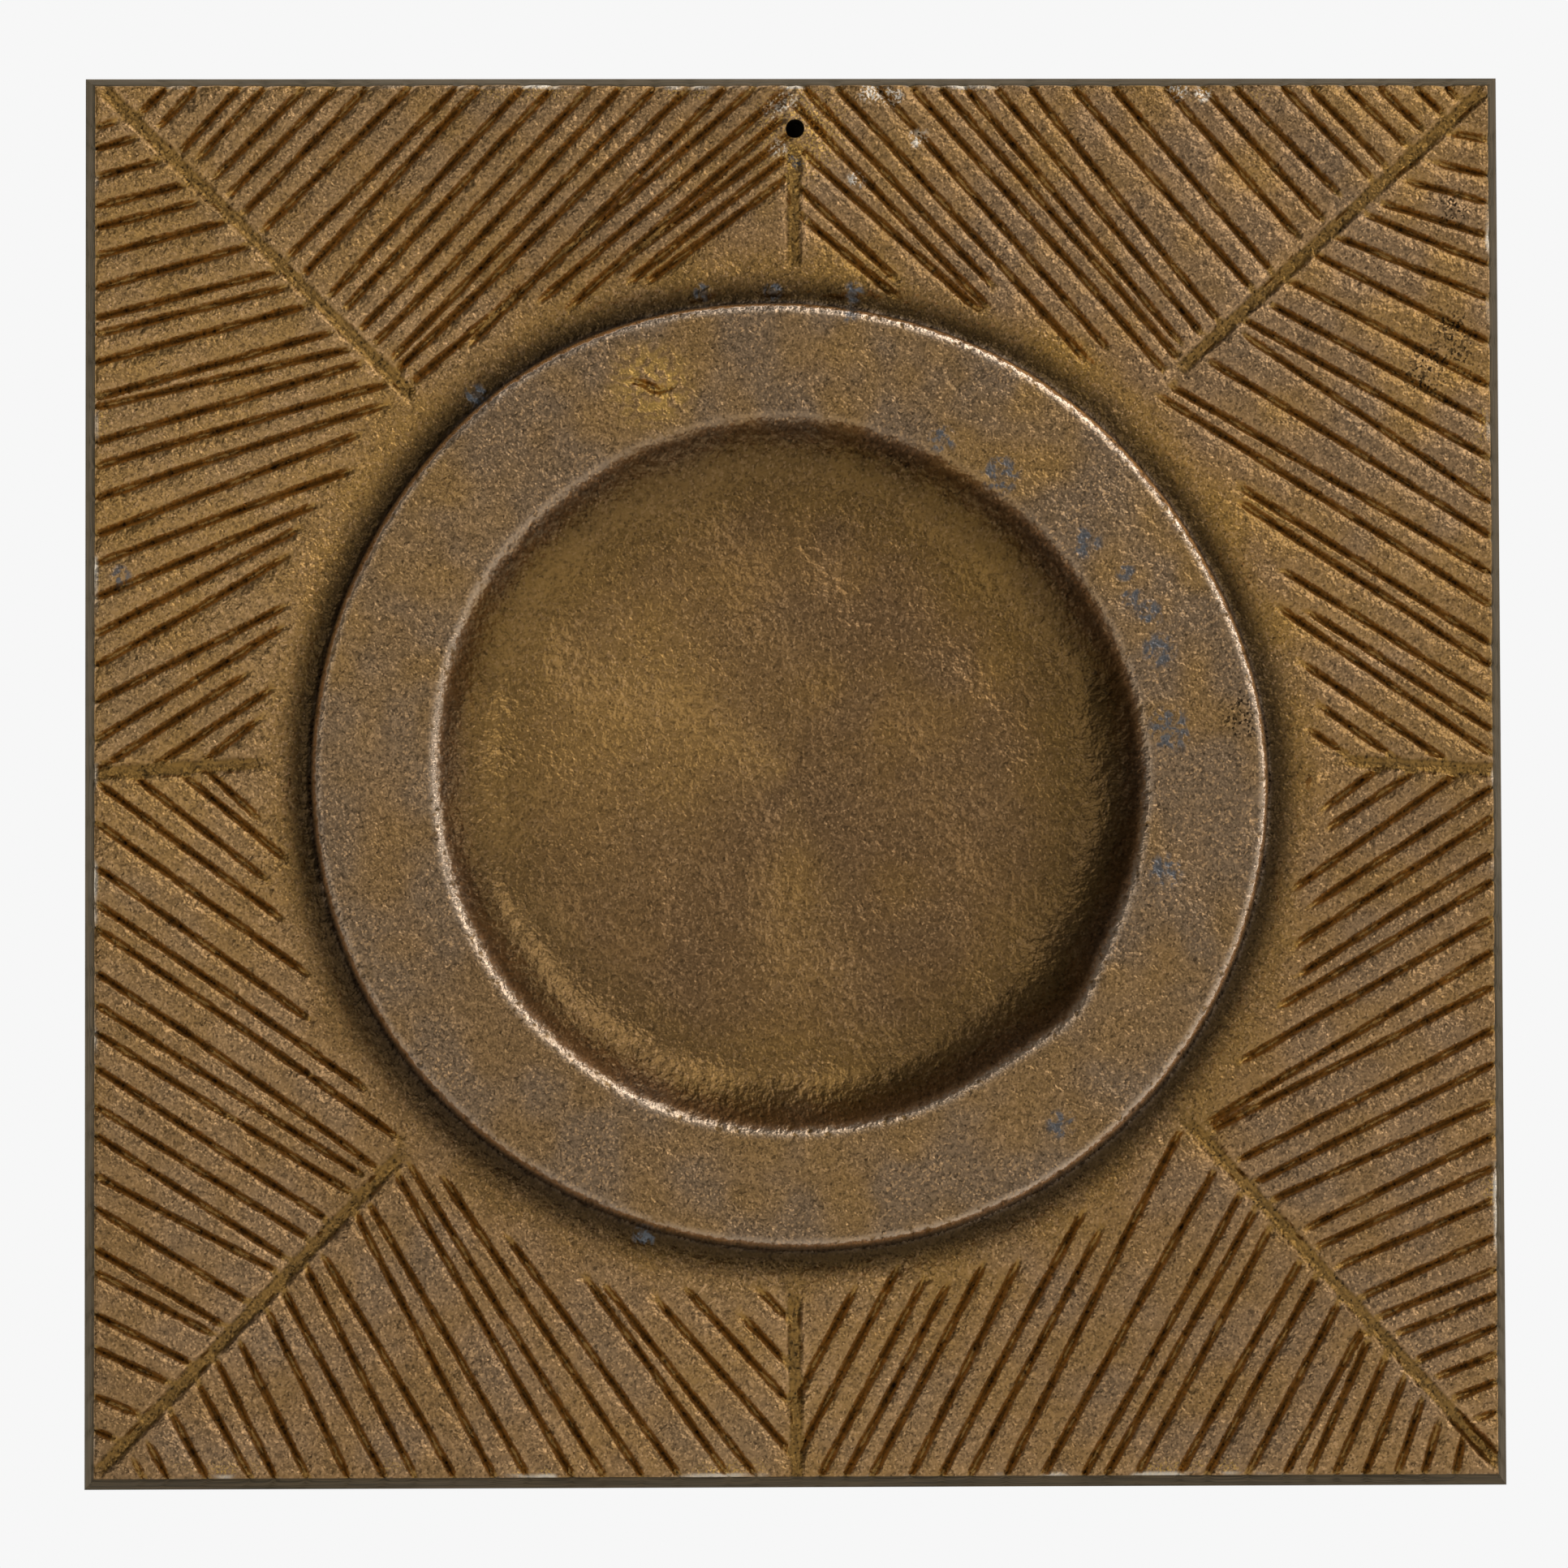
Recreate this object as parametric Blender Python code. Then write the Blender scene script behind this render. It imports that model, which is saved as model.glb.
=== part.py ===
"""A square cast-bronze wall plaque.

It is one casting: a flat slab with sides that lean out towards the back, a raised ring pressed into shape by
hand, a smooth dish inside the ring, a soft moat round it, and eight fans of drawn grooves that meet along
eight deeper spine grooves. The back is flat, and a nail passes through the small hole near the top.

Sizes are in metres. The front faces -Y, +Z is up, and the origin is the centre of the flat back. A place on
the front is given by x and z, and its height is how far it stands in front of the back.
"""

import bmesh
import bpy
import numpy as np
from mathutils import Vector
from mathutils.geometry import delaunay_2d_cdt

MM = 0.001

# Slab
FACE_WIDTH = 246.0 * MM
FACE_HEIGHT = 245.0 * MM
SLAB_THICKNESS = 7.0 * MM
SIDE_LEAN = 2.0 * MM

# Ring, with how far it is out of round at each hour of the clock, from twelve
RING_CENTRE = (-0.2 * MM, 0.6 * MM)
RING_RADIUS = 83.8 * MM
RING_RISE = 7.0 * MM
SHOULDER_WIDTH = 2.2 * MM
SHOULDER_POWER = 3.0
RING_OUT_OF_ROUND_MM = (-0.9, -1.8, -2.2, -0.4, 0.4, 0.8, -0.3, -0.1, 1.0, 1.0, 1.0, 1.5)

# Dish inside the ring
LIP_RADIUS = 62.2 * MM
LIP_SOFTNESS = 1.8 * MM
LIP_OUT_OF_ROUND_MM = (0.4, -1.4, -1.3, -0.5, 0.1, 0.4, 0.5, 0.9, 0.8, 0.6, 1.7, 1.0)
LIP_DENT = 2.0 * MM
LIP_DENT_TURN = 131 / 360
LIP_DENT_SPREAD = 8 / 360
DISH_FLOOR_RADIUS = 45.0 * MM
DISH_FLOOR_THICKNESS = 4.5 * MM
DISH_WALL_POWER = 3.2

# Moat, with its width at each eighth of a turn, from twelve
MOAT_DEPTH = 1.0 * MM
MOAT_WIDTHS_MM = (5.0, 12.0, 9.0, 9.0, 8.0, 11.0, 8.0, 11.0)

# Grooves
GROOVE_WIDTH = 1.7 * MM
GROOVE_DEPTH = 0.8 * MM
GROOVE_TIP_LENGTH = 3.0 * MM
GROOVE_TIP_WANDER = 1.6 * MM
GROOVE_GAP_WANDER = 1.2 * MM
GROOVE_STEP_WANDER = 0.12
GROOVE_TILT_WANDER = 1.0
GROOVE_BEND_WANDER = 0.35
SPINE_WIDTH = 2.4 * MM
SPINE_DEPTH = 1.1 * MM
GROOVE_SEED = 4

# Spines, clockwise from twelve: the outer end as shares of half the face, the point that the line aims at,
# and how far past the moat's rim the inner end stops.
SPINES = (
    {"outer": (0.001, 0.905), "aim_mm": (0.0, 0.0), "stops_mm": 1.0},
    {"outer": (0.985, 0.985), "aim_mm": (0.0, 9.5), "stops_mm": 4.5},
    {"outer": (1.02, 0.008), "aim_mm": (0.0, 9.2), "stops_mm": 3.5},
    {"outer": (0.995, -0.98), "aim_mm": (0.0, 16.3), "stops_mm": -2.0},
    {"outer": (0.0, -1.02), "aim_mm": (-1.9, 0.0), "stops_mm": -1.0},
    {"outer": (-0.985, -0.98), "aim_mm": (0.0, 6.3), "stops_mm": 0.0},
    {"outer": (-1.02, 0.008), "aim_mm": (0.0, 8.3), "stops_mm": 0.5},
    {"outer": (-0.978, 0.985), "aim_mm": (0.0, 0.4), "stops_mm": -2.5},
)

# Fans, each between a spine and the next one clockwise. The five places are where the first groove, those a
# quarter, half and three quarters through, and the last cross the line of that side of the face, as shares of
# half its length. The five tilts are their angles from level, positive where they rise to the right.
FANS = (
    {
        "side": "top",
        "count": 23,
        "places": (-0.200, 0.100, 0.334, 0.672, 0.938),
        "tilts": (-42.0, -48.0, -51.0, -46.0, -43.0),
    },
    {
        "side": "right",
        "count": 22,
        "places": (0.929, 0.671, 0.367, 0.115, -0.107),
        "tilts": (-10.0, -25.0, -32.0, -34.0, -36.0),
    },
    {
        "side": "right",
        "count": 23,
        "places": (0.132, -0.127, -0.409, -0.686, -0.913),
        "tilts": (36.0, 30.0, 25.0, 23.5, 18.0),
    },
    {
        "side": "bottom",
        "count": 23,
        "places": (0.938, 0.700, 0.441, 0.180, -0.061),
        "tilts": (76.0, 61.5, 60.5, 63.0, 63.0),
    },
    {
        "side": "bottom",
        "count": 22,
        "places": (0.209, -0.130, -0.406, -0.682, -0.943),
        "tilts": (-45.0, -54.0, -62.0, -63.0, -60.0),
    },
    {
        "side": "left",
        "count": 22,
        "places": (-0.930, -0.651, -0.385, -0.137, 0.167),
        "tilts": (-22.0, -30.5, -33.0, -35.0, -42.0),
    },
    {
        "side": "left",
        "count": 26,
        "places": (-0.135, 0.172, 0.472, 0.705, 0.941),
        "tilts": (36.0, 28.5, 15.5, 14.0, 17.0),
    },
    {
        "side": "top",
        "count": 23,
        "places": (-0.903, -0.628, -0.339, -0.070, 0.166),
        "tilts": (47.0, 45.5, 47.5, 44.0, 37.0),
    },
)
QUARTER_MARKS = (0.0, 0.25, 0.5, 0.75, 1.0)

# Nail hole
NAIL_HOLE_DIAMETER = 3.3 * MM
NAIL_HOLE_BELOW_TOP = 7.7 * MM
NAIL_HOLE_X = 0.4 * MM
NAIL_HOLE_SIDES = 20

# Unevenness that the hand left in the wax: waves across the face
HAND_WAVE_HEIGHT = 0.12 * MM
HAND_WAVE_LENGTHS_MM = (31.0, 38.0, 47.0, 59.0, 73.0)
HAND_SEED = 11

# How finely the surface is divided
RING_STEPS = 72
GROOVE_STATIONS = 3
TRACE_STEP = 0.5 * MM

BRONZE_COLOUR = (0.16, 0.095, 0.04, 1.0)
BRONZE_ROUGHNESS = 0.5
BRONZE_METALLIC = 0.7


def round_the_clock(values, turn):
    """A smooth closed curve through values spaced evenly round the clock, read at turn, 0 to 1 clockwise."""
    values = np.asarray(values)
    place = (np.asarray(turn) % 1.0) * len(values)
    step = np.floor(place).astype(int)
    t = place - step
    before, here, after, beyond = (values[(step + k) % len(values)] for k in (-1, 0, 1, 2))
    slope = after - before
    curve = 2 * before - 5 * here + 4 * after - beyond
    twist = 3 * (here - after) + beyond - before
    return here + 0.5 * t * (slope + t * (curve + t * twist))


def smooth_min(a, b, softness):
    """The lower of a and b, with the corner where they cross rounded off."""
    overlap = np.maximum(softness - np.abs(a - b), 0.0) / softness
    return np.minimum(a, b) - overlap * overlap * softness / 4


def ring_outline(turn):
    return RING_RADIUS + round_the_clock(RING_OUT_OF_ROUND_MM, turn) * MM


def lip_outline(turn):
    """The ring's inner edge, with the dent that a thumb left at the lower right."""
    from_dent = (np.asarray(turn) - LIP_DENT_TURN + 0.5) % 1.0 - 0.5
    dent = LIP_DENT * np.exp(-((from_dent / LIP_DENT_SPREAD) ** 2))
    return LIP_RADIUS + round_the_clock(LIP_OUT_OF_ROUND_MM, turn) * MM + dent


def moat_width(turn):
    return round_the_clock(MOAT_WIDTHS_MM, turn) * MM


def ring_polar(x, z):
    """Distance from the ring's centre, and place round the clock from 0 at twelve to 1."""
    right = x - RING_CENTRE[0]
    up = z - RING_CENTRE[1]
    return np.hypot(right, up), np.arctan2(right, up) / (2 * np.pi) % 1.0


def hand_waves(x, z):
    """Slow waves in all directions, added up."""
    random = np.random.default_rng(HAND_SEED)
    height = np.zeros_like(x)
    for length in HAND_WAVE_LENGTHS_MM:
        heading = random.uniform(0, 2 * np.pi)
        phase = random.uniform(0, 2 * np.pi)
        along = x * np.cos(heading) + z * np.sin(heading)
        height += np.sin(2 * np.pi * along / (length * MM) + phase)
    return HAND_WAVE_HEIGHT * height


def cast_form(x, z):
    """Height of the face before the grooves are drawn: slab, moat, ring and dish."""
    radius, turn = ring_polar(x, z)
    outside = np.clip((radius - ring_outline(turn)) / moat_width(turn), 0.0, 1.0)
    field = SLAB_THICKNESS - MOAT_DEPTH * (1 - outside) ** 2 * (1 + 2 * outside)
    # The shoulder is a quarter of an oval: upright at the foot, level where it meets the ring's top.
    onto_ring = np.clip((ring_outline(turn) - radius) / SHOULDER_WIDTH, 0.0, 1.0)
    shoulder = (1 - (1 - onto_ring) ** SHOULDER_POWER) ** (1 / SHOULDER_POWER)
    outer = field + (RING_RISE + MOAT_DEPTH) * shoulder
    climb = np.maximum((radius - DISH_FLOOR_RADIUS) / (lip_outline(turn) - DISH_FLOOR_RADIUS), 0.0)
    dish_depth = SLAB_THICKNESS + RING_RISE - DISH_FLOOR_THICKNESS
    dish = DISH_FLOOR_THICKNESS + dish_depth * climb**DISH_WALL_POWER
    return smooth_min(outer, dish, LIP_SOFTNESS) + hand_waves(x, z)


def spine_line(spine):
    """The point that a spine aims at, and the direction from there to its outer end."""
    aim = np.array(spine["aim_mm"]) * MM
    outer = np.array(spine["outer"]) * (FACE_WIDTH / 2, FACE_HEIGHT / 2)
    return aim, outer, (outer - aim) / np.linalg.norm(outer - aim)


def left_of(spine, points):
    """How far points lie to the left of a spine, seen looking outwards along it."""
    aim, _, along = spine_line(spine)
    offset = points - aim
    return along[0] * offset[:, 1] - along[1] * offset[:, 0]


def beyond_moat(points):
    radius, turn = ring_polar(points[:, 0], points[:, 1])
    return radius - ring_outline(turn) - moat_width(turn)


def spine_path(spine):
    """A spine from its outer end in to its tip beside the moat."""
    _, outer, along = spine_line(spine)
    path = outer - np.arange(0.0, FACE_WIDTH, TRACE_STEP)[:, None] * along
    return path[: np.argmax(beyond_moat(path) < spine["stops_mm"] * MM)]


def longest_run(kept):
    """First and last index of the longest unbroken run of kept samples."""
    edges = np.flatnonzero(np.diff(np.concatenate([[False], kept, [False]])))
    starts, ends = edges[::2], edges[1::2]
    if len(starts) == 0:
        return 0, 0
    longest = np.argmax(ends - starts)
    return starts[longest], ends[longest]


def groove_path(fan, place, tilt, bend, spines, gap, short):
    """One groove, traced inwards from the side of the face and kept only where it is inside its own fan."""
    half = np.array([FACE_WIDTH, FACE_HEIGHT]) / 2
    inward = {"top": (0, -1), "right": (-1, 0), "bottom": (0, 1), "left": (1, 0)}[fan["side"]]
    inward = np.array(inward, float)
    start = half * np.where(inward == 0, place, -inward)
    along = np.array([np.cos(np.radians(tilt)), np.sin(np.radians(tilt))])
    along *= np.sign(along @ inward)
    across = np.array([-along[1], along[0]])
    travel = np.arange(-4 * TRACE_STEP, FACE_WIDTH, TRACE_STEP)[:, None]
    path = start + travel * along + bend * travel**2 / 2 * across
    kept = (left_of(spines[0], path) < -gap) & (left_of(spines[1], path) > gap)
    kept &= beyond_moat(path) > short
    kept &= (np.abs(path) < half + 3 * TRACE_STEP).all(axis=1)
    first, last = longest_run(kept)
    return path[first:last]


def fan_paths(fan, spines, random):
    """All the grooves of one fan, spaced and tilted as its five marks say, each a little off."""
    shares = np.linspace(0, 1, fan["count"])
    step = 1 / (fan["count"] - 1)
    paths = []
    for share in shares:
        share += random.normal(0, GROOVE_STEP_WANDER) * step
        place = np.interp(share, QUARTER_MARKS, fan["places"])
        tilt = np.interp(share, QUARTER_MARKS, fan["tilts"]) + random.normal(0, GROOVE_TILT_WANDER)
        bend = random.normal(0, GROOVE_BEND_WANDER)
        gap = max(0.0, random.normal(0, GROOVE_GAP_WANDER))
        short = random.normal(0, GROOVE_TIP_WANDER)
        path = groove_path(fan, place, tilt, bend, spines, gap, short)
        if len(path) * TRACE_STEP > 2 * GROOVE_TIP_LENGTH:
            paths.append(path)
    return paths


def all_strokes():
    """Every groove and spine as (path, width, depth)."""
    random = np.random.default_rng(GROOVE_SEED)
    strokes = [(spine_path(spine), SPINE_WIDTH, SPINE_DEPTH) for spine in SPINES]
    for fan, first, second in zip(FANS, SPINES, SPINES[1:] + SPINES[:1]):
        for path in fan_paths(fan, (first, second), random):
            strokes.append((path, GROOVE_WIDTH, GROOVE_DEPTH))
    return strokes


def stations_of(path):
    """The few points that carry a stroke: evenly spaced up to where its tip begins, then the tip."""
    tip = round(GROOVE_TIP_LENGTH / TRACE_STEP)
    body = np.linspace(0, len(path) - 1 - tip, GROOVE_STATIONS).astype(int)
    return path[np.append(body, len(path) - 1)]


def stroke_cut(points, stations, width, depth):
    """Depth of a stroke under each point: a V along the stations that runs out to nothing at the tip."""
    cut = np.zeros(len(points))
    last = len(stations) - 2
    for k in range(last + 1):
        start, end = stations[k], stations[k + 1]
        length = np.linalg.norm(end - start)
        along = np.clip((points - start) @ (end - start) / length**2, 0.0, 1.0)
        aside = np.linalg.norm(points - start - along[:, None] * (end - start), axis=1)
        fade = 1 - along if k == last else 1.0
        cut = np.maximum(cut, depth * fade * np.clip(1 - 2 * aside / width, 0.0, 1.0))
    return cut


class Outline:
    """Points and the lines that must appear between them, gathered for the triangulation."""

    def __init__(self):
        self.points = []
        self.lines = []

    def add(self, points, closed=False):
        first = len(self.points)
        self.points.extend(Vector(point) for point in np.asarray(points))
        count = len(points)
        self.lines.extend((first + k, first + k + 1) for k in range(count - 1))
        if closed:
            self.lines.append((first + count - 1, first))


def nail_hole_centre():
    return np.array([NAIL_HOLE_X, FACE_HEIGHT / 2 - NAIL_HOLE_BELOW_TOP])


def add_face_edge(outline):
    half = np.array([FACE_WIDTH, FACE_HEIGHT]) / 2
    outline.add(half * [(-1, -1), (1, -1), (1, 1), (-1, 1)], closed=True)


def add_nail_hole(outline):
    angle = np.linspace(0, 2 * np.pi, NAIL_HOLE_SIDES, endpoint=False)
    circle = np.stack([np.cos(angle), np.sin(angle)], axis=1)
    outline.add(nail_hole_centre() + NAIL_HOLE_DIAMETER / 2 * circle, closed=True)


def add_loop(outline, radius_of, steps):
    """A closed line round the ring's centre, at the radius that radius_of gives for each place on the clock."""
    turn = np.linspace(0, 1, steps, endpoint=False)
    angle = 2 * np.pi * turn
    radius = radius_of(turn)
    points = np.stack([np.sin(angle) * radius, np.cos(angle) * radius], axis=1)
    outline.add(RING_CENTRE + points, closed=True)


def add_ring_loops(outline):
    """Lines round the ring wherever its section turns: moat, shoulder, top, lip, dish wall and dish floor."""
    for share in (0.0, 0.45):
        add_loop(outline, lambda turn: ring_outline(turn) + share * moat_width(turn), RING_STEPS)
    for share in (0.06, 0.25, 0.6, 1.0):
        add_loop(outline, lambda turn: ring_outline(turn) - share * SHOULDER_WIDTH, RING_STEPS)
    add_loop(outline, lambda turn: (ring_outline(turn) + lip_outline(turn)) / 2, RING_STEPS)
    for share in (1.0, 0.3, -0.3, -1.0):
        add_loop(outline, lambda turn: lip_outline(turn) + share * LIP_SOFTNESS / 1.3, RING_STEPS)
    for share in (0.7, 0.45, 0.0):
        add_loop(
            outline,
            lambda turn: DISH_FLOOR_RADIUS + share * (lip_outline(turn) - DISH_FLOOR_RADIUS),
            RING_STEPS,
        )
    for share, steps in ((0.66, RING_STEPS // 2), (0.3, RING_STEPS // 4)):
        add_loop(outline, lambda turn: share * DISH_FLOOR_RADIUS + 0 * turn, steps)


def add_stroke(outline, stations, width):
    """The two rims and the keel of one stroke, all three meeting at its tip."""
    along = np.gradient(stations, axis=0)
    along /= np.linalg.norm(along, axis=1)[:, None]
    across = np.stack([-along[:, 1], along[:, 0]], axis=1) * width / 2
    across[-1] = 0.0
    for side in (-1, 0, 1):
        outline.add(stations + side * across)


def triangulate(outline):
    points, _, triangles, *_ = delaunay_2d_cdt(outline.points, outline.lines, [], 0, 1e-7, False)
    return np.array([tuple(point) for point in points]), np.array(triangles)


def on_the_face(points, triangles):
    """Drops the triangles that lie past the face's edge or over the nail hole."""
    middle = points[triangles].mean(axis=1)
    inside = (np.abs(middle) < (FACE_WIDTH / 2, FACE_HEIGHT / 2)).all(axis=1)
    from_nail = np.linalg.norm(middle - nail_hole_centre(), axis=1)
    polygon_radius = NAIL_HOLE_DIAMETER / 2 * np.cos(np.pi / NAIL_HOLE_SIDES)
    triangles = triangles[inside & (from_nail > polygon_radius)]
    used, renumbered = np.unique(triangles, return_inverse=True)
    return points[used], renumbered.reshape(-1, 3)


def close_behind(mesh):
    """Draws the face's edge and the nail hole's rim back to the flat back, and fills the back between them."""
    shape = bmesh.new()
    shape.from_mesh(mesh)
    rim = [edge for edge in shape.edges if edge.is_boundary]
    drawn = bmesh.ops.extrude_edge_only(shape, edges=rim)["geom"]
    spread = Vector((1 + 2 * SIDE_LEAN / FACE_WIDTH, 0, 1 + 2 * SIDE_LEAN / FACE_HEIGHT))
    nail = Vector((nail_hole_centre()[0], 0, nail_hole_centre()[1]))
    for vert in (item for item in drawn if isinstance(item, bmesh.types.BMVert)):
        vert.co.y = 0.0
        if (vert.co - nail).length > NAIL_HOLE_DIAMETER:
            vert.co *= spread
    back_rim = [edge for edge in shape.edges if edge.is_boundary]
    bmesh.ops.triangle_fill(shape, edges=back_rim, use_beauty=True, normal=(0, 1, 0))
    bmesh.ops.recalc_face_normals(shape, faces=shape.faces)
    shape.to_mesh(mesh)
    shape.free()


def bronze():
    material = bpy.data.materials.new("bronze")
    material.use_nodes = True
    shader = material.node_tree.nodes["Principled BSDF"]
    shader.inputs["Base Color"].default_value = BRONZE_COLOUR
    shader.inputs["Roughness"].default_value = BRONZE_ROUGHNESS
    shader.inputs["Metallic"].default_value = BRONZE_METALLIC
    return material


def make_plaque():
    strokes = [(stations_of(path), width, depth) for path, width, depth in all_strokes()]
    outline = Outline()
    add_face_edge(outline)
    add_nail_hole(outline)
    add_ring_loops(outline)
    for stations, width, _ in strokes:
        add_stroke(outline, stations, width)
    points, triangles = on_the_face(*triangulate(outline))
    height = cast_form(points[:, 0], points[:, 1])
    cut = np.zeros(len(points))
    for stations, width, depth in strokes:
        cut = np.maximum(cut, stroke_cut(points, stations, width, depth))
    front = np.stack([points[:, 0], cut - height, points[:, 1]], axis=1)
    mesh = bpy.data.meshes.new("plaque")
    mesh.from_pydata(front.tolist(), [], triangles.tolist())
    close_behind(mesh)
    mesh.materials.append(bronze())
    plaque = bpy.data.objects.new("plaque", mesh)
    bpy.context.scene.collection.objects.link(plaque)


for old in list(bpy.data.objects):
    bpy.data.objects.remove(old)
make_plaque()
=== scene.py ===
# %% [markdown]
# # A cast-bronze relief plaque
# Someone pressed a ring into a slab of wax or clay, drew fans of grooves round it, and a foundry cast the
# slab in bronze. Everything on it is one piece of metal, so this lesson builds one closed mesh. The face is
# a height worked out for each place on it, and the sides and the flat back close it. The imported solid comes
# first, because it gives the plaque's place and its outer size.

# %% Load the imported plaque
import bpy
import numpy as np
from mathutils import Matrix, Vector
from mathutils.geometry import delaunay_2d_cdt


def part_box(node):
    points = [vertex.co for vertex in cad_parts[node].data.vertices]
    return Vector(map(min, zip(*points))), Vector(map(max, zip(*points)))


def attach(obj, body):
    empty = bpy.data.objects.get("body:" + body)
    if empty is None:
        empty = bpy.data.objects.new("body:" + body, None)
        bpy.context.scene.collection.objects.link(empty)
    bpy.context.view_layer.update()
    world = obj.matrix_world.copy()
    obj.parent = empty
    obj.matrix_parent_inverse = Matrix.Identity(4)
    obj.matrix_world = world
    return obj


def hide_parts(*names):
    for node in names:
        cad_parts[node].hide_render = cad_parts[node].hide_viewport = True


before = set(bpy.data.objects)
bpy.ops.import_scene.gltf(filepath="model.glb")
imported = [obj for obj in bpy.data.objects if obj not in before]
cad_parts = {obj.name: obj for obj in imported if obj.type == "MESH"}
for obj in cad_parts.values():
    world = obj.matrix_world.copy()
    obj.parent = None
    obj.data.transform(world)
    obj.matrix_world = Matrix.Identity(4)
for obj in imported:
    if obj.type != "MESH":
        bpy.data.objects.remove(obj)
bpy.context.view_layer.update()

MM = 0.001
back_low, back_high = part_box("plaque")
BACK_HALF = np.array([back_high[0], back_high[2]])

def in_mm(length):
    """A length or an array of lengths as rounded millimetres, for printing."""
    return np.round(np.asarray(length) / MM, 1)

print("The back is", in_mm(2 * BACK_HALF), "mm, and the ring stands", in_mm(-back_low[1]), "mm out")

# %% [markdown]
# ## The camera
# The photograph was taken with a long lens, almost square on: the plaque's lower edge looks a little longer
# than its upper one, and more of the bottom side shows than of the top one. So the camera is a little below
# the middle and a touch to the left, turned by a fifth of a degree.

# %% Camera
CAMERA_DISTANCE = 1.6
CAMERA_AZIMUTH = np.radians(-1.16)
CAMERA_ELEVATION = np.radians(-3.15)
CAMERA_ROLL = np.radians(-0.19)
CAMERA_AIM = Vector((-1.80 * MM, 0, -0.69 * MM))
CAMERA_LENS_MM = 208.1

def direction(azimuth, elevation):
    """The way from the plaque to something at this azimuth, positive to the right, and elevation."""
    flat = np.cos(elevation)
    return Vector((np.sin(azimuth) * flat, -np.cos(azimuth) * flat, np.sin(elevation)))

def make_camera():
    """A camera that looks at its aim: its axes are worked out from the line of sight and then rolled."""
    back = direction(CAMERA_AZIMUTH, CAMERA_ELEVATION)
    right = Vector((0, 0, 1)).cross(back).normalized()
    up = back.cross(right)
    turned = Matrix((right, up, back)).transposed() @ Matrix.Rotation(CAMERA_ROLL, 3, "Z")
    camera = bpy.data.objects.new("camera", bpy.data.cameras.new("camera"))
    camera.data.lens = CAMERA_LENS_MM
    camera.data.clip_end = 50
    camera.matrix_world = Matrix.LocRotScale(CAMERA_AIM + CAMERA_DISTANCE * back, turned, None)
    bpy.context.scene.collection.objects.link(camera)
    bpy.context.scene.camera = camera

make_camera()
print("The camera stands at", in_mm(bpy.context.scene.camera.location), "mm")

# %% [markdown]
# ## Light and floor
# Metal shows what is around it. In the photograph the right and upper walls of the dish are nearly black,
# so the light came from in front and from the right, and hardly any from the left. Six soft squares stand
# for that. The surround is dim in front, and behind the plaque it is the white paper that it was
# photographed on, which lights the sides. The plaque hangs, so the pale floor is well below it, out of
# view.

# %% Light and floor
ROOM = 0.09
PAPER = 0.9
LIGHT_SIZE = 0.9
LIGHT_DISTANCE = 1.8
PAPER_SEEN = 0.93
# name, azimuth and elevation in degrees, watts
LIGHTS = (
    ("front", -25, 0, 2.9),
    ("above", 0, 42, 2.0),
    ("near right", 30, 0, 1.4),
    ("upper right", 38, 32, 5.4),
    ("high right", 70, 60, 3.5),
    ("far right", 82, 10, 3.3),
)
FLOOR_BELOW = 0.3
FLOOR_HALF = 1.2
FLOOR_COLOUR = (0.8, 0.8, 0.79, 1)
FLOOR_ROUGHNESS = 0.8

def add_soft_light(name, azimuth, elevation, watts):
    """A square soft light that faces the plaque, itself not seen by the camera."""
    lamp = bpy.data.lights.new(name, "AREA")
    lamp.size = LIGHT_SIZE
    lamp.energy = watts
    light = bpy.data.objects.new(name, lamp)
    towards = direction(np.radians(azimuth), np.radians(elevation))
    light.location = LIGHT_DISTANCE * towards
    light.rotation_euler = towards.to_track_quat("Z", "Y").to_euler()
    light.visible_camera = False
    bpy.context.scene.collection.objects.link(light)

def make_surround():
    """A world that the camera sees as white paper. As light, it is dim in front and white behind the plaque:
    the way that a ray comes from is read along y."""
    world = bpy.data.worlds.new("surround")
    world.use_nodes = True
    nodes = world.node_tree.nodes
    links = world.node_tree.links
    seen = nodes.new("ShaderNodeBackground")
    seen.inputs["Color"].default_value = (PAPER_SEEN, PAPER_SEEN, PAPER_SEEN, 1)
    apart = nodes.new("ShaderNodeSeparateXYZ")
    links.new(nodes.new("ShaderNodeTexCoord").outputs["Generated"], apart.inputs[0])
    level = nodes.new("ShaderNodeMapRange")
    level.interpolation_type = "SMOOTHSTEP"
    for socket, value in (("From Min", -0.05), ("From Max", 0.1), ("To Min", ROOM), ("To Max", PAPER)):
        level.inputs[socket].default_value = value
    links.new(apart.outputs["Y"], level.inputs["Value"])
    links.new(level.outputs[0], nodes["Background"].inputs["Color"])
    choose = nodes.new("ShaderNodeMixShader")
    links.new(nodes.new("ShaderNodeLightPath").outputs["Is Camera Ray"], choose.inputs[0])
    links.new(nodes["Background"].outputs[0], choose.inputs[1])
    links.new(seen.outputs[0], choose.inputs[2])
    links.new(choose.outputs[0], nodes["World Output"].inputs["Surface"])
    bpy.context.scene.world = world

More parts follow.
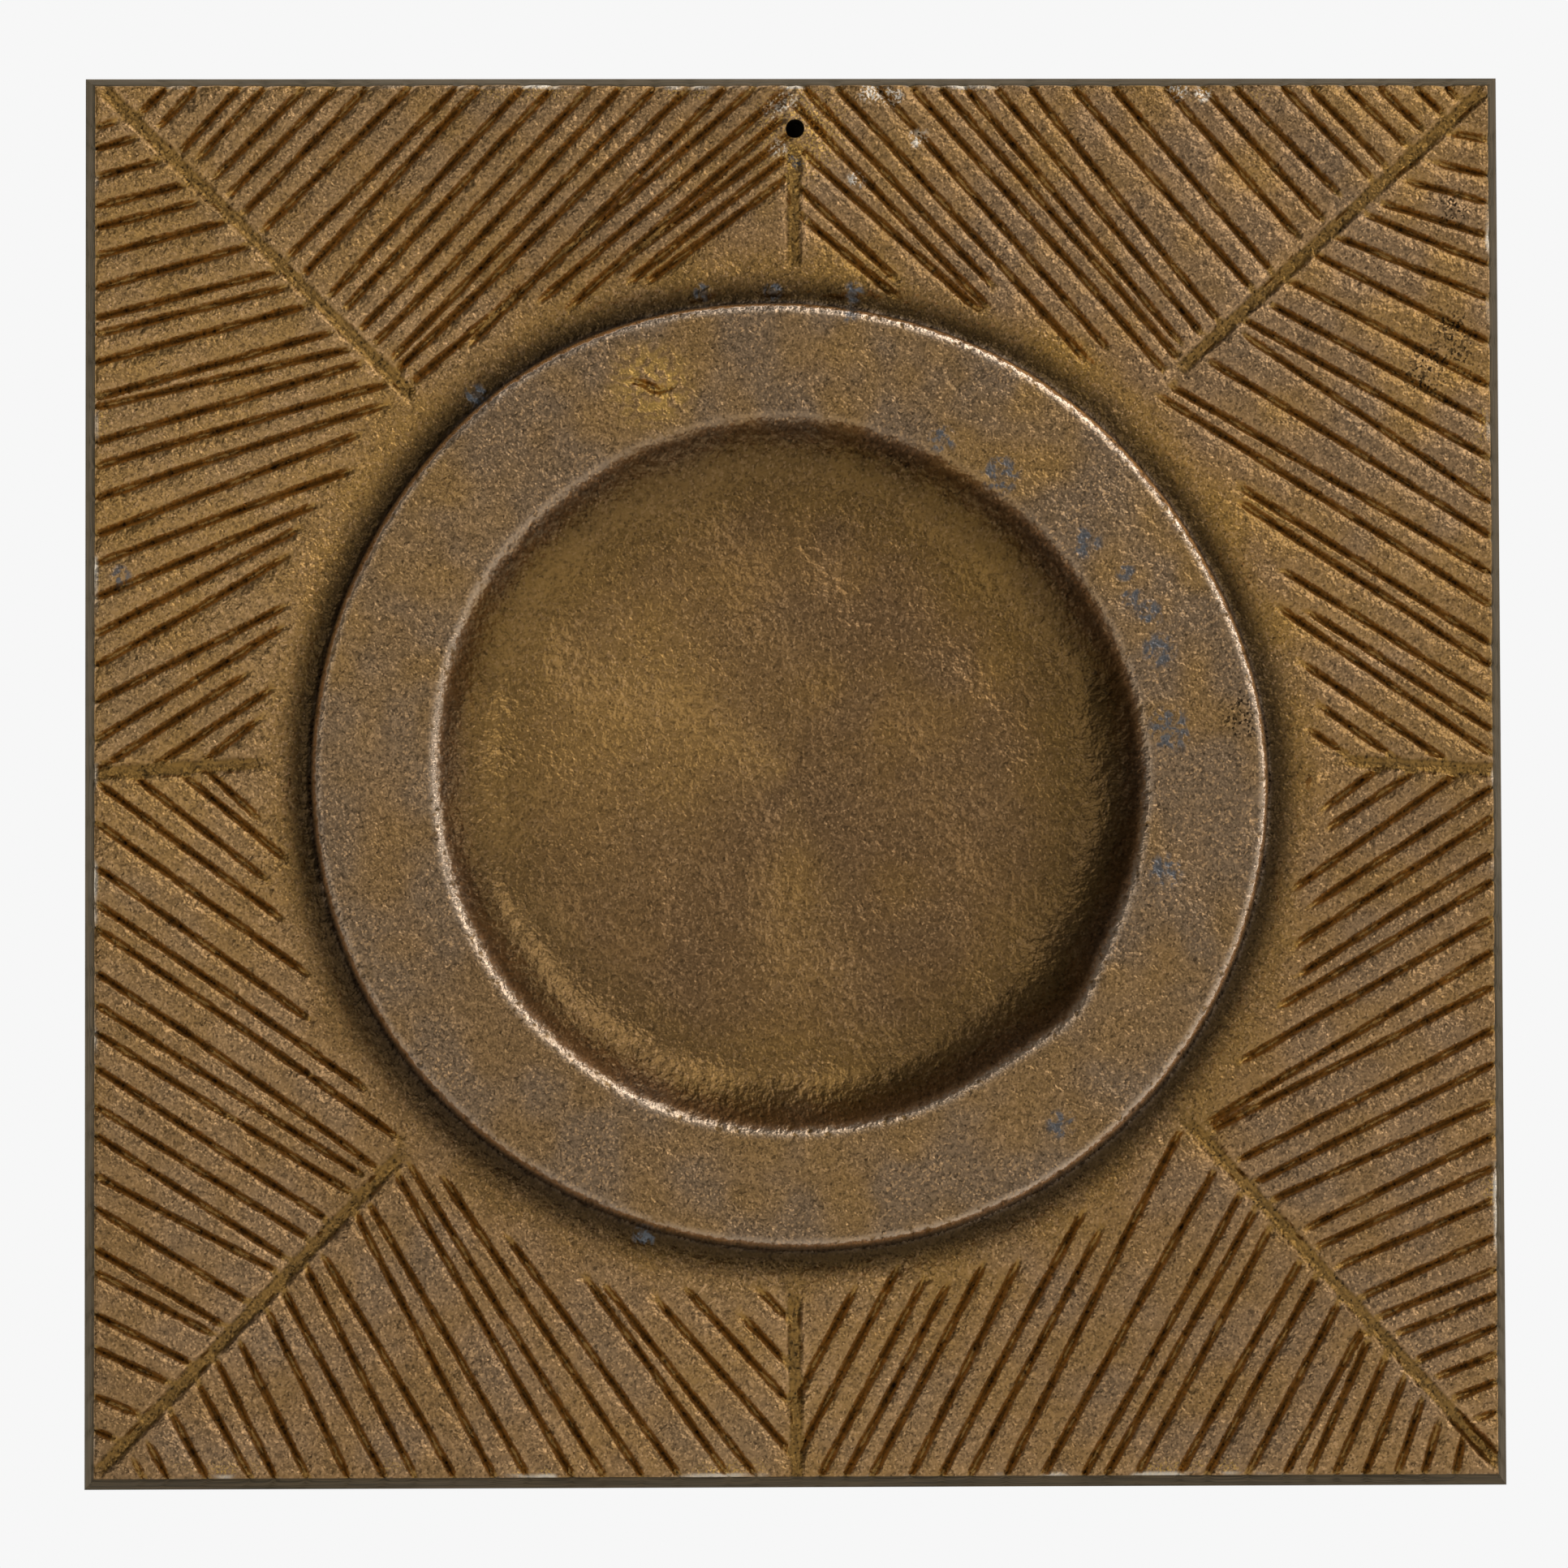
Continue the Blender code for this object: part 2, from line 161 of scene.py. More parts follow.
def make_floor():
    """A flat pale square below the plaque."""
    corners = FLOOR_HALF * np.array([(-1, -1, 0), (1, -1, 0), (1, 1, 0), (-1, 1, 0)])
    mesh = bpy.data.meshes.new("floor")
    mesh.from_pydata((corners - (0, 0, FLOOR_BELOW)).tolist(), [], [(0, 1, 2, 3)])
    pale = bpy.data.materials.new("pale floor")
    pale.use_nodes = True
    pale_shader = pale.node_tree.nodes["Principled BSDF"]
    pale_shader.inputs["Base Color"].default_value = FLOOR_COLOUR
    pale_shader.inputs["Roughness"].default_value = FLOOR_ROUGHNESS
    mesh.materials.append(pale)
    floor = bpy.data.objects.new("floor", mesh)
    bpy.context.scene.collection.objects.link(floor)

for light in LIGHTS:
    add_soft_light(*light)
make_surround()
make_floor()
bpy.context.scene.view_settings.view_transform = "Standard"
print(len(LIGHTS), "soft lights, the surround and the floor are in place")

# %% [markdown]
# ## The ring's two outlines
# A hand pressed the ring, so neither of its edges is a true circle. Each has one radius for every hour of
# the clock, read off the photograph, with a smooth closed curve through the twelve. The inner lip also has
# the dent of a thumb at the lower right.

# %% Outlines of the ring, the lip and the moat
RING_CENTRE = np.array([-0.2, 0.6]) * MM
RING_RADIUS = 83.8 * MM
RING_OUT_OF_ROUND_MM = (-0.9, -1.8, -2.2, -0.4, 0.4, 0.8, -0.3, -0.1, 1.0, 1.0, 1.0, 1.5)
LIP_RADIUS = 62.2 * MM
LIP_OUT_OF_ROUND_MM = (0.4, -1.4, -1.3, -0.5, 0.1, 0.4, 0.5, 0.9, 0.8, 0.6, 1.7, 1.0)
LIP_DENT = 2.0 * MM
LIP_DENT_TURN = 131 / 360
LIP_DENT_SPREAD = 8 / 360
MOAT_WIDTHS_MM = (5.0, 12.0, 9.0, 9.0, 8.0, 11.0, 8.0, 11.0)

def round_the_clock(values, turn):
    """A smooth closed curve through values spaced evenly round the clock: between two neighbours it is the
    cubic that also follows the value before and the value after them."""
    values = np.asarray(values)
    place = (np.asarray(turn) % 1.0) * len(values)
    step = np.floor(place).astype(int)
    t = place - step
    before, here, after, beyond = (values[(step + k) % len(values)] for k in (-1, 0, 1, 2))
    curve = 2 * before - 5 * here + 4 * after - beyond
    twist = 3 * (here - after) + beyond - before
    return here + 0.5 * t * (after - before + t * (curve + t * twist))

def ring_outline(turn):
    """The ring's outer edge as a distance from its centre."""
    return RING_RADIUS + round_the_clock(RING_OUT_OF_ROUND_MM, turn) * MM

def lip_outline(turn):
    """The lip's distance from the ring's centre: the closed curve plus a bell curve for the dent."""
    from_dent = (np.asarray(turn) - LIP_DENT_TURN + 0.5) % 1.0 - 0.5
    dent = LIP_DENT * np.exp(-((from_dent / LIP_DENT_SPREAD) ** 2))
    return LIP_RADIUS + round_the_clock(LIP_OUT_OF_ROUND_MM, turn) * MM + dent

def moat_width(turn):
    """How wide the moat is at that hour."""
    return round_the_clock(MOAT_WIDTHS_MM, turn) * MM

def ring_polar(x, z):
    """Distance from the ring's centre, and place round the clock from 0 at twelve to 1."""
    right = x - RING_CENTRE[0]
    up = z - RING_CENTRE[1]
    return np.hypot(right, up), np.arctan2(right, up) / (2 * np.pi) % 1.0

print("The ring is", in_mm(2 * RING_RADIUS), "mm across, and its lip", in_mm(2 * LIP_RADIUS), "mm")

# %% [markdown]
# ## The cast form
# Before the grooves were drawn, the slab had a soft moat, an upright ring with a rounded shoulder, and a
# dish whose wall steepens up to the lip. All of it is one height over the face, a function of x and z, as
# the solid has it too. Slow waves and smaller dents make it look pressed by hand.

# %% Cast form
SIDE_LEAN = 2.0 * MM
FACE_HALF = BACK_HALF - SIDE_LEAN
SLAB_THICKNESS = 7.0 * MM
RING_RISE = 7.0 * MM
SHOULDER_WIDTH = 2.2 * MM
SHOULDER_POWER = 3.0
FOOT_FLARE = 1.1 * MM
FOOT_FLARE_SPREAD = 1.2 * MM
LIP_SOFTNESS = 1.8 * MM
DISH_FLOOR_RADIUS = 45.0 * MM
DISH_FLOOR_THICKNESS = 4.5 * MM
DISH_WALL_POWER = 3.2
MOAT_DEPTH = 1.0 * MM
HAND_WAVE_HEIGHT = 0.12 * MM
HAND_WAVE_LENGTHS_MM = (31.0, 38.0, 47.0, 59.0, 73.0)
HAND_SEED = 11

def smooth_min(a, b, softness):
    """The lower of a and b, with the corner where they cross rounded off by a parabola."""
    overlap = np.maximum(softness - np.abs(a - b), 0.0) / softness
    return np.minimum(a, b) - overlap * overlap * softness / 4

def hand_waves(x, z):
    """Sine waves in five directions, added up."""
    random = np.random.default_rng(HAND_SEED)
    height = np.zeros_like(x)
    for length in HAND_WAVE_LENGTHS_MM:
        heading = random.uniform(0, 2 * np.pi)
        phase = random.uniform(0, 2 * np.pi)
        along = x * np.cos(heading) + z * np.sin(heading)
        height += np.sin(2 * np.pi * along / (length * MM) + phase)
    return HAND_WAVE_HEIGHT * height

def cast_form(x, z):
    """Slab minus moat, plus a squarish quarter oval for the ring's shoulder with a flare that dies away
    exponentially at its foot, cut down to the dish, whose wall climbs as a power of the way to the lip."""
    radius, turn = ring_polar(x, z)
    outside = np.clip((radius - ring_outline(turn)) / moat_width(turn), 0.0, 1.0)
    field = SLAB_THICKNESS - MOAT_DEPTH * (1 - outside) ** 2 * (1 + 2 * outside)
    onto_ring = np.clip((ring_outline(turn) - radius) / SHOULDER_WIDTH, 0.0, 1.0)
    shoulder = (1 - (1 - onto_ring) ** SHOULDER_POWER) ** (1 / SHOULDER_POWER)
    flare = FOOT_FLARE * np.exp(-np.maximum(radius - ring_outline(turn), 0.0) / FOOT_FLARE_SPREAD)
    outer = field + np.maximum((RING_RISE + MOAT_DEPTH) * shoulder, flare)
    climb = np.maximum((radius - DISH_FLOOR_RADIUS) / (lip_outline(turn) - DISH_FLOOR_RADIUS), 0.0)
    dish_depth = SLAB_THICKNESS + RING_RISE - DISH_FLOOR_THICKNESS
    dish = DISH_FLOOR_THICKNESS + dish_depth * climb**DISH_WALL_POWER
    return smooth_min(outer, dish, LIP_SOFTNESS) + hand_waves(x, z)

middle = cast_form(RING_CENTRE[:1], RING_CENTRE[1:])[0]
print("The metal is", in_mm(middle), "mm thick in the middle of the dish")

# %% [markdown]
# ## The spines and the fans of grooves
# Eight deeper spine grooves run in from the corners and the middles of the sides, and a fan of grooves lies
# between each two, like the veins of a leaf. A fan is described as its maker would: how many strokes, and
# where the first, the last and those at its quarter marks meet the side, and at what tilt. Each stroke is
# then a little off, and a line from the side inwards is kept only where it is inside its own fan.

# %% Spines and fans
TRACE_STEP = 0.5 * MM
RUN_UP = 4 * TRACE_STEP
OVERRUN = 3 * TRACE_STEP
GROOVE_WIDTH = 1.5 * MM
GROOVE_DEPTH = 0.8 * MM
GROOVE_TIP_LENGTH = 3.0 * MM
GROOVE_TIP_WANDER = 1.6 * MM
GROOVE_GAP_WANDER = 1.2 * MM
GROOVE_STEP_WANDER = 0.12
GROOVE_TILT_WANDER = 1.0
GROOVE_BEND_WANDER = 0.35
SPINE_WIDTH = 2.8 * MM
SPINE_DEPTH = 1.1 * MM
GROOVE_SEED = 4
QUARTER_MARKS = (0.0, 0.25, 0.5, 0.75, 1.0)

# Clockwise from twelve: the outer end as shares of half the face, the point that the line aims at in mm, and
# how far past the moat's rim the inner end stops, in mm
SPINES = (
    ((0.001, 0.905), (0.0, 0.0), 1.0),
    ((0.985, 0.985), (0.0, 9.5), 4.5),
    ((1.02, 0.008), (0.0, 9.2), 3.5),
    ((0.995, -0.98), (0.0, 16.3), -2.0),
    ((0.0, -1.02), (-1.9, 0.0), -1.0),
    ((-0.985, -0.98), (0.0, 6.3), 0.0),
    ((-1.02, 0.008), (0.0, 8.3), 0.5),
    ((-0.978, 0.985), (0.0, 0.4), -2.5),
)

# Between each spine and the next: the way inwards from the side, the count, the places along the side as
# shares of half its length, and the tilts in degrees, positive where a groove rises to the right
FANS = (
    ((0, -1), 23, (-0.200, 0.100, 0.334, 0.672, 0.938), (-42.0, -48.0, -51.0, -46.0, -43.0)),
    ((-1, 0), 22, (0.929, 0.671, 0.367, 0.115, -0.107), (-10.0, -25.0, -32.0, -34.0, -36.0)),
    ((-1, 0), 23, (0.132, -0.127, -0.409, -0.686, -0.913), (36.0, 30.0, 25.0, 23.5, 18.0)),
    ((0, 1), 23, (0.938, 0.700, 0.441, 0.180, -0.061), (76.0, 61.5, 60.5, 63.0, 63.0)),
    ((0, 1), 22, (0.209, -0.130, -0.406, -0.682, -0.943), (-45.0, -54.0, -62.0, -63.0, -60.0)),
    ((1, 0), 22, (-0.930, -0.651, -0.385, -0.137, 0.167), (-22.0, -30.5, -33.0, -35.0, -42.0)),
    ((1, 0), 26, (-0.135, 0.172, 0.472, 0.705, 0.941), (36.0, 28.5, 15.5, 14.0, 17.0)),
    ((0, -1), 23, (-0.903, -0.628, -0.339, -0.070, 0.166), (47.0, 45.5, 47.5, 44.0, 37.0)),
)

def spine_line(spine):
    """The point that a spine aims at, its outer end, and the direction from the first to the second."""
    aim = np.array(spine[1]) * MM
    outer = np.array(spine[0]) * FACE_HALF
    return aim, outer, (outer - aim) / np.linalg.norm(outer - aim)

def left_of(spine, points):
    """How far points lie to the left of a spine, looking outwards along it: the cross product with it."""
    aim, _, along = spine_line(spine)
    offset = points - aim
    return along[0] * offset[:, 1] - along[1] * offset[:, 0]

def beyond_moat(points):
    """How far points lie outside the moat."""
    radius, turn = ring_polar(points[:, 0], points[:, 1])
    return radius - ring_outline(turn) - moat_width(turn)

def spine_path(spine):
    """Even samples from a spine's outer end inwards to where it stops."""
    _, outer, along = spine_line(spine)
    path = outer - np.arange(0.0, 2 * FACE_HALF[0], TRACE_STEP)[:, None] * along
    return path[: np.argmax(beyond_moat(path) < spine[2] * MM)]

def longest_run(kept):
    """First and last index of the longest unbroken run of kept samples."""
    changes = np.flatnonzero(np.diff(np.concatenate([[False], kept, [False]])))
    starts, ends = changes[::2], changes[1::2]
    if len(starts) == 0:
        return 0, 0
    longest = np.argmax(ends - starts)
    return starts[longest], ends[longest]

def groove_path(inward, place, tilt, bend, spines, gap, short):
    """One groove: a line at its tilt, bent into a shallow arc, kept inside its fan and outside the moat."""
    inward = np.array(inward, float)
    start = FACE_HALF * np.where(inward == 0, place, -inward)
    along = np.array([np.cos(np.radians(tilt)), np.sin(np.radians(tilt))])
    along *= np.sign(along @ inward)
    across = np.array([-along[1], along[0]])
    travel = np.arange(-RUN_UP, 2 * FACE_HALF[0], TRACE_STEP)[:, None]
    path = start + travel * along + bend * travel**2 / 2 * across
    kept = (left_of(spines[0], path) < -gap) & (left_of(spines[1], path) > gap)
    kept &= beyond_moat(path) > short
    kept &= (np.abs(path) < FACE_HALF + OVERRUN).all(axis=1)
    first, last = longest_run(kept)
    return path[first:last]

def fan_paths(fan, spines, random):
    """All the grooves of one fan, spaced and tilted as its five marks say, each a little off."""
    inward, count, places, tilts = fan
    paths = []
    for share in np.linspace(0, 1, count):
        share += random.normal(0, GROOVE_STEP_WANDER) / (count - 1)
        place = np.interp(share, QUARTER_MARKS, places)
        tilt = np.interp(share, QUARTER_MARKS, tilts) + random.normal(0, GROOVE_TILT_WANDER)
        bend = random.normal(0, GROOVE_BEND_WANDER)
        gap = max(0.0, random.normal(0, GROOVE_GAP_WANDER))
        short = random.normal(0, GROOVE_TIP_WANDER)
        path = groove_path(inward, place, tilt, bend, spines, gap, short)
        if len(path) * TRACE_STEP > 2 * GROOVE_TIP_LENGTH:
            paths.append(path)
    return paths

def all_strokes():
    """Every spine and groove as (path, width, depth)."""
    random = np.random.default_rng(GROOVE_SEED)
    strokes = [(spine_path(spine), SPINE_WIDTH, SPINE_DEPTH) for spine in SPINES]
    for fan, first, second in zip(FANS, SPINES, SPINES[1:] + SPINES[:1]):
        for path in fan_paths(fan, (first, second), random):
            strokes.append((path, GROOVE_WIDTH, GROOVE_DEPTH))
    return strokes

strokes = all_strokes()
drawn_length = sum(len(path) for path, _, _ in strokes) * TRACE_STEP
print(len(strokes), "strokes,", round(drawn_length, 1), "m of them in all")

# %% [markdown]
# ## The section of a groove
# A blunt tool pushed through stiff wax leaves a groove with a narrow floor, soft walls, and a low burr of
# pushed-up wax along each rim, and it wavers a little in width and depth. A spine is wider and shallower,
# with a faint ridge along its floor. The solid has a plain V for both. Here the section is a function of
# how far a point lies aside of the stroke and how far along it.

# %% Section of a groove
GROOVE_FLOOR_SHARE = 0.12
SPINE_FLOOR_SHARE = 0.62
BURR_HEIGHT = 0.12 * MM
BURR_AT = 1.3
BURR_SPREAD = 0.4
WAVER_LENGTH = 9.0 * MM
WAVER_SHARE = 0.12
DEPTH_WAVER_LENGTH = 1.7 * WAVER_LENGTH
WAVER_SHIFT = 2.4
SAG_DEPTH = 0.6 * MM
SAG_SPREAD = 1.3 * MM
SPINE_SHALLOWER = 0.55
SPINE_RIDGE_SHARE = 0.4
SPINE_RIDGE_WIDTH = 0.4 * MM
REACH = 4 * MM

def beside(points, path):
    """How far each point lies aside of a path and how far along it. The nearest sample of the path gives the
    place, and the path's direction there splits what is left into a part along it and a part across."""
    gap = points[:, None, :] - path[None, :, :]
    nearest = np.argmin(gap[..., 0] ** 2 + gap[..., 1] ** 2, axis=1)
    heading = np.gradient(path, axis=0)
    heading /= np.linalg.norm(heading, axis=1)[:, None]
    rest = points - path[nearest]
    ahead = heading[nearest]
    forward = rest[:, 0] * ahead[:, 0] + rest[:, 1] * ahead[:, 1]
    aside = rest[:, 1] * ahead[:, 0] - rest[:, 0] * ahead[:, 1]
    return aside, nearest * TRACE_STEP + forward

def near_path(points, path, reach):
    """Indices of the points inside the path's own box, grown by reach."""
    inside = (points > path.min(axis=0) - reach) & (points < path.max(axis=0) + reach)
    return np.flatnonzero(inside.all(axis=1))

def groove_section(points, stroke, phase):
    """Depth, sag and burr at each point. Across: flat floor, then a smooth step up to the rim, and the land
    beside it sags in a bell curve. Along: a slow sine waver, a round start, and a square-root run-out."""
    path, width, depth = stroke
    is_spine = width == SPINE_WIDTH
    floor_share = SPINE_FLOOR_SHARE if is_spine else GROOVE_FLOOR_SHARE
    depth = depth * SPINE_SHALLOWER if is_spine else depth
    aside, along = beside(points, path)
    waver = np.sin(2 * np.pi * along / WAVER_LENGTH + phase)
    across = np.abs(aside) / (width / 2 * (1 + WAVER_SHARE * waver))
    wall = np.clip((1 - across) / (1 - floor_share), 0.0, 1.0)
    tip = np.clip(((len(path) - 1) * TRACE_STEP - along) / GROOVE_TIP_LENGTH, 0.0, 1.0)
    start = np.clip(1 + along / width, 0.0, 1.0)
    fade = np.sqrt(tip) * start
    cut = depth * (1 - WAVER_SHARE * np.cos(2 * np.pi * along / DEPTH_WAVER_LENGTH + phase)) * fade
    if is_spine:
        cut = cut * (1 - SPINE_RIDGE_SHARE * np.exp(-((aside / SPINE_RIDGE_WIDTH) ** 2)))
    burr = BURR_HEIGHT * np.exp(-(((across - BURR_AT) / BURR_SPREAD) ** 2)) * fade
    sag = SAG_DEPTH * np.exp(-((aside / SAG_SPREAD) ** 2)) * fade
    return cut * wall * wall * (3 - 2 * wall), sag, burr

def drawn_grooves(points, drawn=strokes):
    """The deepest cut, the deepest sag and the highest burr of these strokes at each point."""
    deepest = np.zeros((3, len(points)))
    for k, stroke in enumerate(drawn):
        near = near_path(points, stroke[0], REACH)
        section = groove_section(points[near], stroke, WAVER_SHIFT * k)
        deepest[:, near] = np.maximum(deepest[:, near], section)
    cut, sag, burr = deepest
    return cut, sag, burr * np.clip(1 - 4 * cut / GROOVE_DEPTH, 0.0, 1.0)

print("A groove is", in_mm(GROOVE_WIDTH), "mm wide and a spine", in_mm(SPINE_WIDTH), "mm")

# %% [markdown]
# ## Accidents of the casting
# The mould left marks of its own: a pit with raised lips on the ring, lumps of slag under the ring's top
# edge, thin fins where the mould cracked across the grooves, a gouge in the lower right corner, and chips
# along the edge of the face. Each is an oval bump or hollow with its own place, size and heading. Between
# them, random relief of a few sizes stands for dents and pebbly metal: random heights on a square net,
# blended smoothly.

# %% Accidents of the casting
# name, x, z, half length, half width, heading in degrees, height, all in mm
ACCIDENTS = (
    ("left end of the pit", -27.3, 69.2, 1.6, 0.6, -14, -0.7),
    ("middle of the pit", -25.0, 68.2, 1.9, 0.8, -32, -0.8),
    ("right end of the pit", -22.6, 68.1, 1.5, 0.55, 14, -0.5),
    ("lip over the pit", -25.6, 69.9, 3.4, 0.8, -8, 0.28),
    ("lip under the pit", -24.0, 66.7, 3.0, 0.8, -15, 0.22),
    ("slag on the left", -16.0, 85.3, 2.6, 0.9, 20, 0.55),
    ("slag in the middle", -3.2, 85.8, 3.2, 0.9, -4, 0.5),
    ("slag on the right", 9.0, 85.8, 3.4, 0.9, 5, 0.55),
    ("end of the slag", 14.8, 86.0, 1.8, 0.8, -20, 0.45),
    ("first fin", -98.8, -59.7, 2.8, 0.45, -40, 0.55),
    ("short fin", -104.8, -61.2, 2.4, 0.4, -20, 0.4),
    ("middle fin", -92.4, -57.8, 2.6, 0.45, -45, 0.5),
    ("far fin", -85.5, -52.1, 3.6, 0.4, 6, 0.5),
    ("joining fin", -96.2, -58.4, 2.2, 0.35, 35, 0.35),
    ("corner gouge", 119.4, -116.6, 4.8, 1.5, -47, -1.3),
    ("drop at the right spine", 91.6, -1.2, 1.5, 1.3, 0, 0.6),
    ("dent in the ring's right edge", 81.0, -8.0, 5.0, 2.6, 84, -0.7),
    ("soft ridge across the ring", 9.2, 67.0, 9.0, 3.4, 84, 0.3),
    ("lap at the ring's foot", 33.0, -76.5, 5.0, 1.0, 24, -0.35),
    ("knock above the nail", -3.4, 119.8, 3.0, 1.4, 12, -0.45),
    ("knock beside the nail", 5.6, 117.6, 2.4, 1.1, -38, -0.3),
)
HAMMERED_SIZES_MM = ((17.0, 0.5), (9.0, 0.42), (4.0, 0.12))
SUNK_BY = 0.4 * MM
NET_KNOTS = 128

def oval_distance(points, mark, half_length, half_width):
    """The squared distance from a mark's middle, 1 on an oval of these half sizes in mm at its heading."""
    _, x, z, _, _, heading, _ = mark
    turn = np.radians(heading)
    right, up = (points - (x * MM, z * MM)).T
    along = (right * np.cos(turn) + up * np.sin(turn)) / (half_length * MM)
    across = (up * np.cos(turn) - right * np.sin(turn)) / (half_width * MM)
    return along**2 + across**2

def oval_mark(points, mark):
    """A bump that falls off as the exponential of minus the fourth power of its oval distance."""
    return mark[6] * MM * np.exp(-(oval_distance(points, mark, *mark[3:5]) ** 2))

def random_relief(points, size, seed):
    """Random heights from -1 to 1 on a square net, blended between its knots with a smooth step."""
    net = np.random.default_rng(seed).uniform(-1, 1, (NET_KNOTS, NET_KNOTS))
    place = points / size + NET_KNOTS // 2
    knot = np.floor(place).astype(int)
    t = place - knot
    t = t * t * (3 - 2 * t)
    i, j = knot.T
    low = net[i, j] * (1 - t[:, 0]) + net[i + 1, j] * t[:, 0]
    high = net[i, j + 1] * (1 - t[:, 0]) + net[i + 1, j + 1] * t[:, 0]
    return low * (1 - t[:, 1]) + high * t[:, 1]

def unevenness(points):
    """All the accidents and the hammered look, added up."""
    height = sum(oval_mark(points, mark) for mark in ACCIDENTS) - SUNK_BY
    for seed, (size, rise) in enumerate(HAMMERED_SIZES_MM):
        height = height + rise * MM * random_relief(points, size * MM, seed)
    return height

print(len(ACCIDENTS), "accidents of the casting")

# %% [markdown]
# ## The whole height
# The height of the face is the cast form, plus the unevenness, minus the grooves, plus their burrs. A file
# has taken the sharp corner off the slab's edge, more in some places than in others.

# %% Height of the face
ARRIS_WIDTH = 0.8 * MM
ARRIS_DROP = 0.3 * MM
ARRIS_CHIP = 0.35 * MM
CHIP_SIZE = 4 * MM
CHIP_SEED = 7
CHIP_FROM = 0.25
FORWARD_LIMIT = 0.25 * MM - back_low[1]

def from_edge(points):
    """How far a point is inside the nearest side of the face."""
    return (FACE_HALF - np.abs(points)).min(axis=1)

def worn_arris(points):
    """Grows as the square of the way from the arris's inner end to the edge; chips deepen it in patches."""
    share = np.clip(1 - from_edge(points) / ARRIS_WIDTH, 0.0, 1.0)
    chips = np.clip(random_relief(points, CHIP_SIZE, CHIP_SEED) - CHIP_FROM, 0.0, 1.0)
    return share**2 * (ARRIS_DROP + ARRIS_CHIP * chips)

def face_height(points):
    """Height in front of the back at each point, and the groove cut there."""
    cut, sag, burr = drawn_grooves(points)
    smooth = cast_form(points[:, 0], points[:, 1]) + unevenness(points) - worn_arris(points)
    height = smooth + burr - sag - cut
    return np.minimum(height, FORWARD_LIMIT), cut

print("The face may stand at most", in_mm(FORWARD_LIMIT), "mm in front of the back")

# %% [markdown]
# ## Where the points go
# A plain square net fine enough for grooves 1.5 mm wide would need a million faces. So the points follow
# the form, as a maker's attention would: seven rows along each groove (floor, walls, rims and land), rows
# round the ring close together on its shoulder and lip, a loose net on the land between grooves, and small
# fine nets over the accidents.

# %% Rows along the grooves
STATION_STEP = 1.15 * MM
ROWS_ACROSS = (-1.22, -1.0, -0.4, 0.0, 0.4, 1.0, 1.22)
CLEAR_OF_ROWS = 1.6

def stroke_rows(stroke):
    """The path read at even steps, with points at fixed shares of half the width to either side."""
    path, width, _ = stroke
    travelled = np.arange(len(path)) * TRACE_STEP
    at = np.arange(0.0, travelled[-1], STATION_STEP)
    stations = np.stack([np.interp(at, travelled, path[:, 0]), np.interp(at, travelled, path[:, 1])], axis=1)
    heading = np.gradient(stations, axis=0)
    heading /= np.linalg.norm(heading, axis=1)[:, None]
    across = np.stack([-heading[:, 1], heading[:, 0]], axis=1) * width / 2
    rows = stations[None] + np.array(ROWS_ACROSS)[:, None, None] * across[None]
    return rows.reshape(-1, 2)

def clear_of(points, others, share):
    """Keeps the points that lie further from every other stroke than this share of half its width."""
    keep = np.ones(len(points), bool)
    for path, width, _ in others:
        near = near_path(points, path, share * width)
        aside, along = beside(points[near], path)
        end = (len(path) - 1) * TRACE_STEP
        past = np.maximum(np.maximum(-along, along - end), 0.0)
        keep[near] &= np.hypot(aside, past) > share * width / 2
    return points[keep]

groove_points = np.concatenate([
    clear_of(stroke_rows(stroke), strokes[:k], CLEAR_OF_ROWS) for k, stroke in enumerate(strokes)
])
print(len(groove_points), "points along the grooves")

# %% Rows round the ring and nets over the rest
HOURS = np.linspace(0, 1, 12)
SHOULDER_ROWS = (0.0, 0.01, 0.04, 0.1, 0.18, 0.28, 0.4, 0.55, 0.75, 1.0, 1.25)
SHOULDER_STEP = 1.0 * MM
LIP_INSIDE = 3.2 * MM
LIP_OUTSIDE = 2.6 * MM
FOOT_OUTSIDE = 3.4 * MM
LAND_STEP = 1.5 * MM
LAND_FROM_MOAT = 1.3 * MM
LAND_CLEAR_OF_ROWS = 2.2
ACCIDENT_STEP = 0.42 * MM
# gap between rows, and step along them, both in mm
ROWS_MM = {
    "dish": (1.45, 1.5), "wall": (1.05, 1.2), "lip": (0.5, 1.1),
    "top": (1.1, 1.15), "foot": (0.42, 1.1), "moat": (1.0, 1.2),
}

def ring_row(radius_of, step, shift):
    """One row round the ring's centre, with points this far apart, turned by a share of one step."""
    count = int(2 * np.pi * np.mean(radius_of(HOURS)) / step)
    turn = (np.arange(count) + shift) / count
    outwards = np.stack([np.sin(2 * np.pi * turn), np.cos(2 * np.pi * turn)], axis=1)
    return RING_CENTRE + outwards * radius_of(turn)[:, None]

def rows_between(inner, outer, where):
    """Rows at even gaps from one outline to another, every second one turned by half a step."""
    gap, step = ROWS_MM[where]
    count = int(np.mean(outer(HOURS) - inner(HOURS)) / (gap * MM))
    shares = (np.arange(count) + 0.5) / count
    return [
        ring_row(lambda turn: inner(turn) + share * (outer(turn) - inner(turn)), step * MM, 0.5 * (k % 2))
        for k, share in enumerate(shares)
    ]

def square_net(low, high, step, seed):
    """A square net between two corners, each knot moved at random by up to a quarter of a step."""
    x, z = np.meshgrid(np.arange(low[0], high[0], step), np.arange(low[1], high[1], step))
    net = np.stack([x.ravel(), z.ravel()], axis=1)
    return net + np.random.default_rng(seed).uniform(-0.25, 0.25, net.shape) * step

